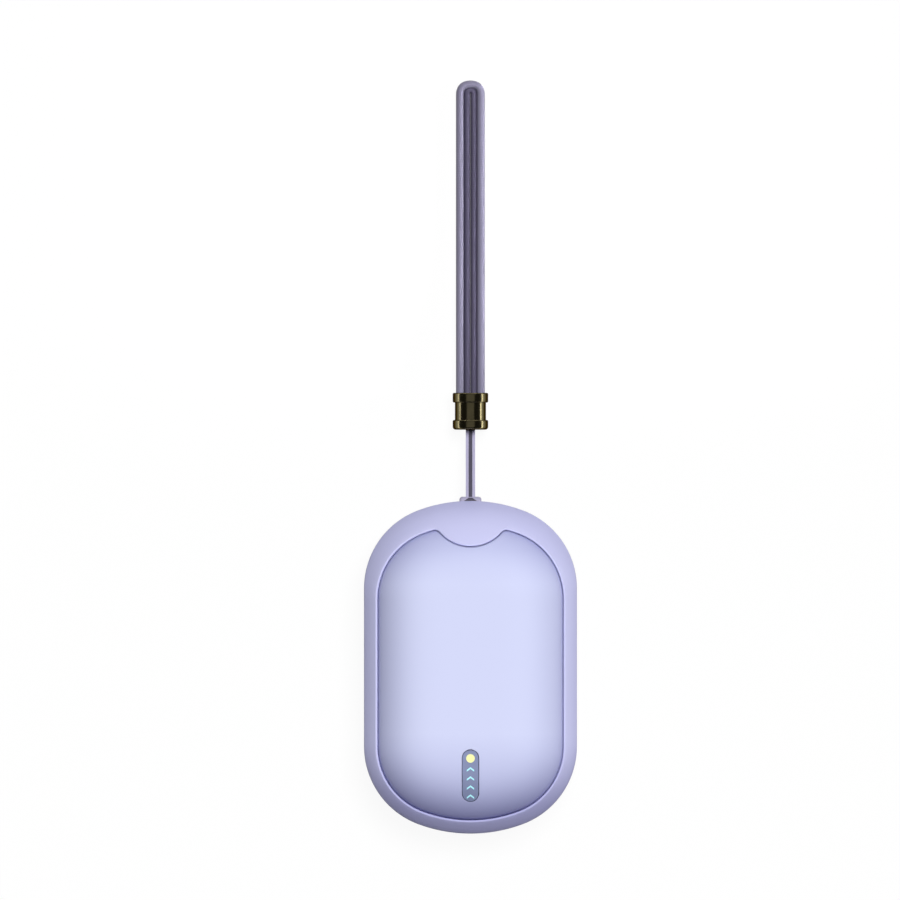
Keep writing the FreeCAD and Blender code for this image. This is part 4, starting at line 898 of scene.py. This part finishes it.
board = Finish("green_solder_mask", roughness=0.3, coat_weight=0.3)
areas = board.node("ShaderNodeTexVoronoi", {"distance": "CHEBYCHEV", "feature": "F1"},
                   {"Vector": board.place(), "Scale": COPPER_SCALE})
gaps = areas > COPPER_REACH
board.set(base_color=board.mix(gaps, (0.012, 0.1, 0.045), (0.005, 0.045, 0.022)))
board.relief(gaps, 0.02 * MM, strength=0.5)
wear(board, "main_board", "battery_protection_board")

# %% [markdown]
# Parts on the board: the switch has a metal cover on a black base, the controller is black
# beside a grey inductor, and the small lamps have a yellow face in a white case. The leads
# are pairs of red and black. Each of these is one piece, so a second material would need its
# faces picked out. A mask on the place tells the two materials apart instead.

# %% Parts on the board
BLACK = (0.015, 0.015, 0.017)


def two_parts(name, axis, limit, below, above, metal_above=0.0):
    """Two materials in one, which meet at a place on an axis in mm."""
    finish = Finish(name)
    upper = finish.along(axis) > limit * MM
    speck = finish.noise(scale=1500, detail=3)
    lower_tone = finish.mix(speck, below, times(below, 1.25))
    upper_tone = finish.mix(speck, above, times(above, 0.85))
    return finish.set(base_color=finish.mix(upper, lower_tone, upper_tone),
                      roughness=0.3 + 0.15 * speck, metallic=metal_above * upper)


wear(two_parts("switch_case", "Z", 10.9, (0.02, 0.02, 0.022), (0.6, 0.6, 0.6), metal_above=1.0),
     "tact_switch")
wear(two_parts("power_parts", "X", 0, BLACK, (0.09, 0.088, 0.085)), "board_power_parts")
wear(two_parts("lamp_case", "Z", 9.9, (0.75, 0.74, 0.7), (0.8, 0.62, 0.12)), "indicator_leds")
wear(two_parts("thermistor_bead", "Z", 23.9, (0.01, 0.01, 0.012), (0.02, 0.02, 0.022)),
     thermistor)
for node, lead in leads.items():
    between = LEAD_ROUTES[node][0]
    wear(two_parts(node + "_cover", "X", between, (0.4, 0.02, 0.018), BLACK), lead)

# %% [markdown]
# Closed-cell foam is full of tiny bubbles. Modelled, they would be many thousands of dimples. A
# Voronoi pattern about a third of a millimetre wide gives them as relief, with a little painted
# shade inside each one.

# %% Foam
BUBBLE_SCALE = 2800

foam = Finish("closed_cell_foam", roughness=0.85, specular_ior_level=0.2)
bubbles = foam.node("ShaderNodeTexVoronoi", {}, {"Vector": foam.place(), "Scale": BUBBLE_SCALE})
# Painted shade: the colour is darkest in the middle of each bubble, where its dimple is deepest.
foam.set(base_color=foam.mix(bubbles, (0.02, 0.02, 0.023), (0.05, 0.05, 0.056)))
foam.relief(bubbles, 0.1 * MM, strength=0.7)
wear(foam, foam_pad)

# %% [markdown]
# The floor is a wide sheet of white paper. Lit until it looks white, it would burn out the
# object too. Light Path lets the camera and reflections see it white instead, while a share
# of plain paint keeps the soft shadow under the object. For the light that bounces off it
# the paper is grey, so the slopes of the object stay dark enough. It lies a hair below the
# object, because two faces in one place show through each other.

# %% Floor
FLOOR_SIZE = 80
FLOOR_DROP = 0.02 * MM
FLOOR_GLOW = 0.94


def seen_by(finish, *kinds):
    """Where a ray is of one of some kinds."""
    rays = [finish.node("ShaderNodeLightPath", output=f"Is {kind} Ray") for kind in kinds]
    return sum(rays[1:], rays[0])


bpy.ops.mesh.primitive_plane_add(size=FLOOR_SIZE, location=(0, 0, -FLOOR_DROP))
floor = bpy.context.object
floor.name = "studio_floor"
paper = Finish("white_paper_floor", roughness=0.9, specular_ior_level=0.0)
seen = seen_by(paper, "Camera", "Glossy", "Transmission")
paper.set(base_color=paper.mix(seen, (0.22, 0.22, 0.22), (0.95, 0.95, 0.95)))
paint = Field(paper, paper.shader.outputs[0])
glow = paper.node("ShaderNodeEmission", {}, {"Strength": 1.0, "Color": (1, 1, 1)})
blend = paper.node("ShaderNodeMixShader", {}, {0: FLOOR_GLOW * seen, 1: paint, 2: glow})
paper.feed(paper.tree.nodes["Material Output"].inputs["Surface"], blend)
wear(paper, floor)

# %% [markdown]
# The air round the floor is white where the camera sees it, and in mirrors near the horizon,
# like the walls of a white studio. Real walls would stand in the way of other views. Overhead
# the air is nearly dark, so that the lamps alone shape the object. A world's Generated
# coordinate is the direction that a ray looks in.

# %% Air
HORIZON = 0.08
OVERHEAD = 0.03


class Air(Finish):
    """The world's nodes, added to in the same way as those of a material."""

    def __init__(self, world):
        self.tree = world.node_tree
        self.shader = self.tree.nodes["Background"]


world = bpy.data.worlds.new("studio_air")
world.use_nodes = True
scene.world = world
air = Air(world)
low_down = 1 - (air.along("Z", "Generated") > HORIZON)
white = seen_by(air, "Camera") + seen_by(air, "Glossy", "Transmission") * low_down
air.set(color=(1, 1, 1), strength=OVERHEAD + (1 - OVERHEAD) * white)
print("air of", len(air.tree.nodes), "nodes")

# %% [markdown]
# One broad light from above, a little towards the strap and the right, gives the slow
# shading of the slopes. A sun lamp with a wide angle does that evenly, where a sheet close
# by would fall off along the object. Low strips at the sides and a sheet overhead show only
# as reflections, in metal and along rounded edges.

# %% Lights
UPRIGHT = math.pi / 2
STRIP = (1.2, 0.12)


def sun(name, strength, direction, spread):
    """A broad even light that comes from a direction and leaves no glare."""
    x, y, z = direction
    turn = (0, math.atan2(math.hypot(x, y), z), math.atan2(y, x))
    bpy.ops.object.light_add(type="SUN", rotation=turn)
    lamp = bpy.context.object
    lamp.name = name
    lamp.data.energy, lamp.data.angle = strength, math.radians(spread)
    lamp.visible_glossy = False
    print(name, "spreads", spread, "degrees")


def sheet_lamp(name, power, place, turn, size):
    """A flat lamp that the camera doesn't see."""
    bpy.ops.object.light_add(type="AREA", location=place, rotation=turn)
    lamp = bpy.context.object
    lamp.name = name
    lamp.data.shape, (lamp.data.size, lamp.data.size_y) = "RECTANGLE", size
    lamp.data.energy = power
    lamp.visible_camera = False
    print(name, "of", power, "W")
    return lamp


sun("soft_key_light", strength=3.3, direction=(0.2, 0.33, 1.0), spread=30)
for lamp in (sheet_lamp("right_strip", 3.4, (1.0, 0.03, 0.12), (UPRIGHT, 0, UPRIGHT), STRIP),
             sheet_lamp("left_strip", 1.6, (-1.0, 0.03, 0.12), (UPRIGHT, 0, -UPRIGHT), STRIP),
             sheet_lamp("far_strip", 2.6, (0, 1.2, 0.12), (UPRIGHT, 0, math.pi), STRIP),
             sheet_lamp("near_strip", 0.8, (0, -1.2, 0.12), (UPRIGHT, 0, 0), STRIP),
             sheet_lamp("overhead_sheet", 3.4, (0, 0.05, 2.0), (0, 0, 0), (2.0, 2.0))):
    lamp.visible_diffuse = False

# %% [markdown]
# A narrow lamp from the right lights the strap alone, so that each leg of the cord has a
# bright side and a dark side. Light linking could leave the body out too, but a small spread
# is enough: the body lies outside the beam.

# %% Side light on the strap
BEAM_TURN = (0, math.radians(73), 0)
BEAM_SPREAD = math.radians(10)

beam = sheet_lamp("strap_side_light", 0.028, (0.4, 0.15, 0.12), BEAM_TURN, (0.05, 0.13))
beam.data.spread = BEAM_SPREAD
beam.visible_glossy = False
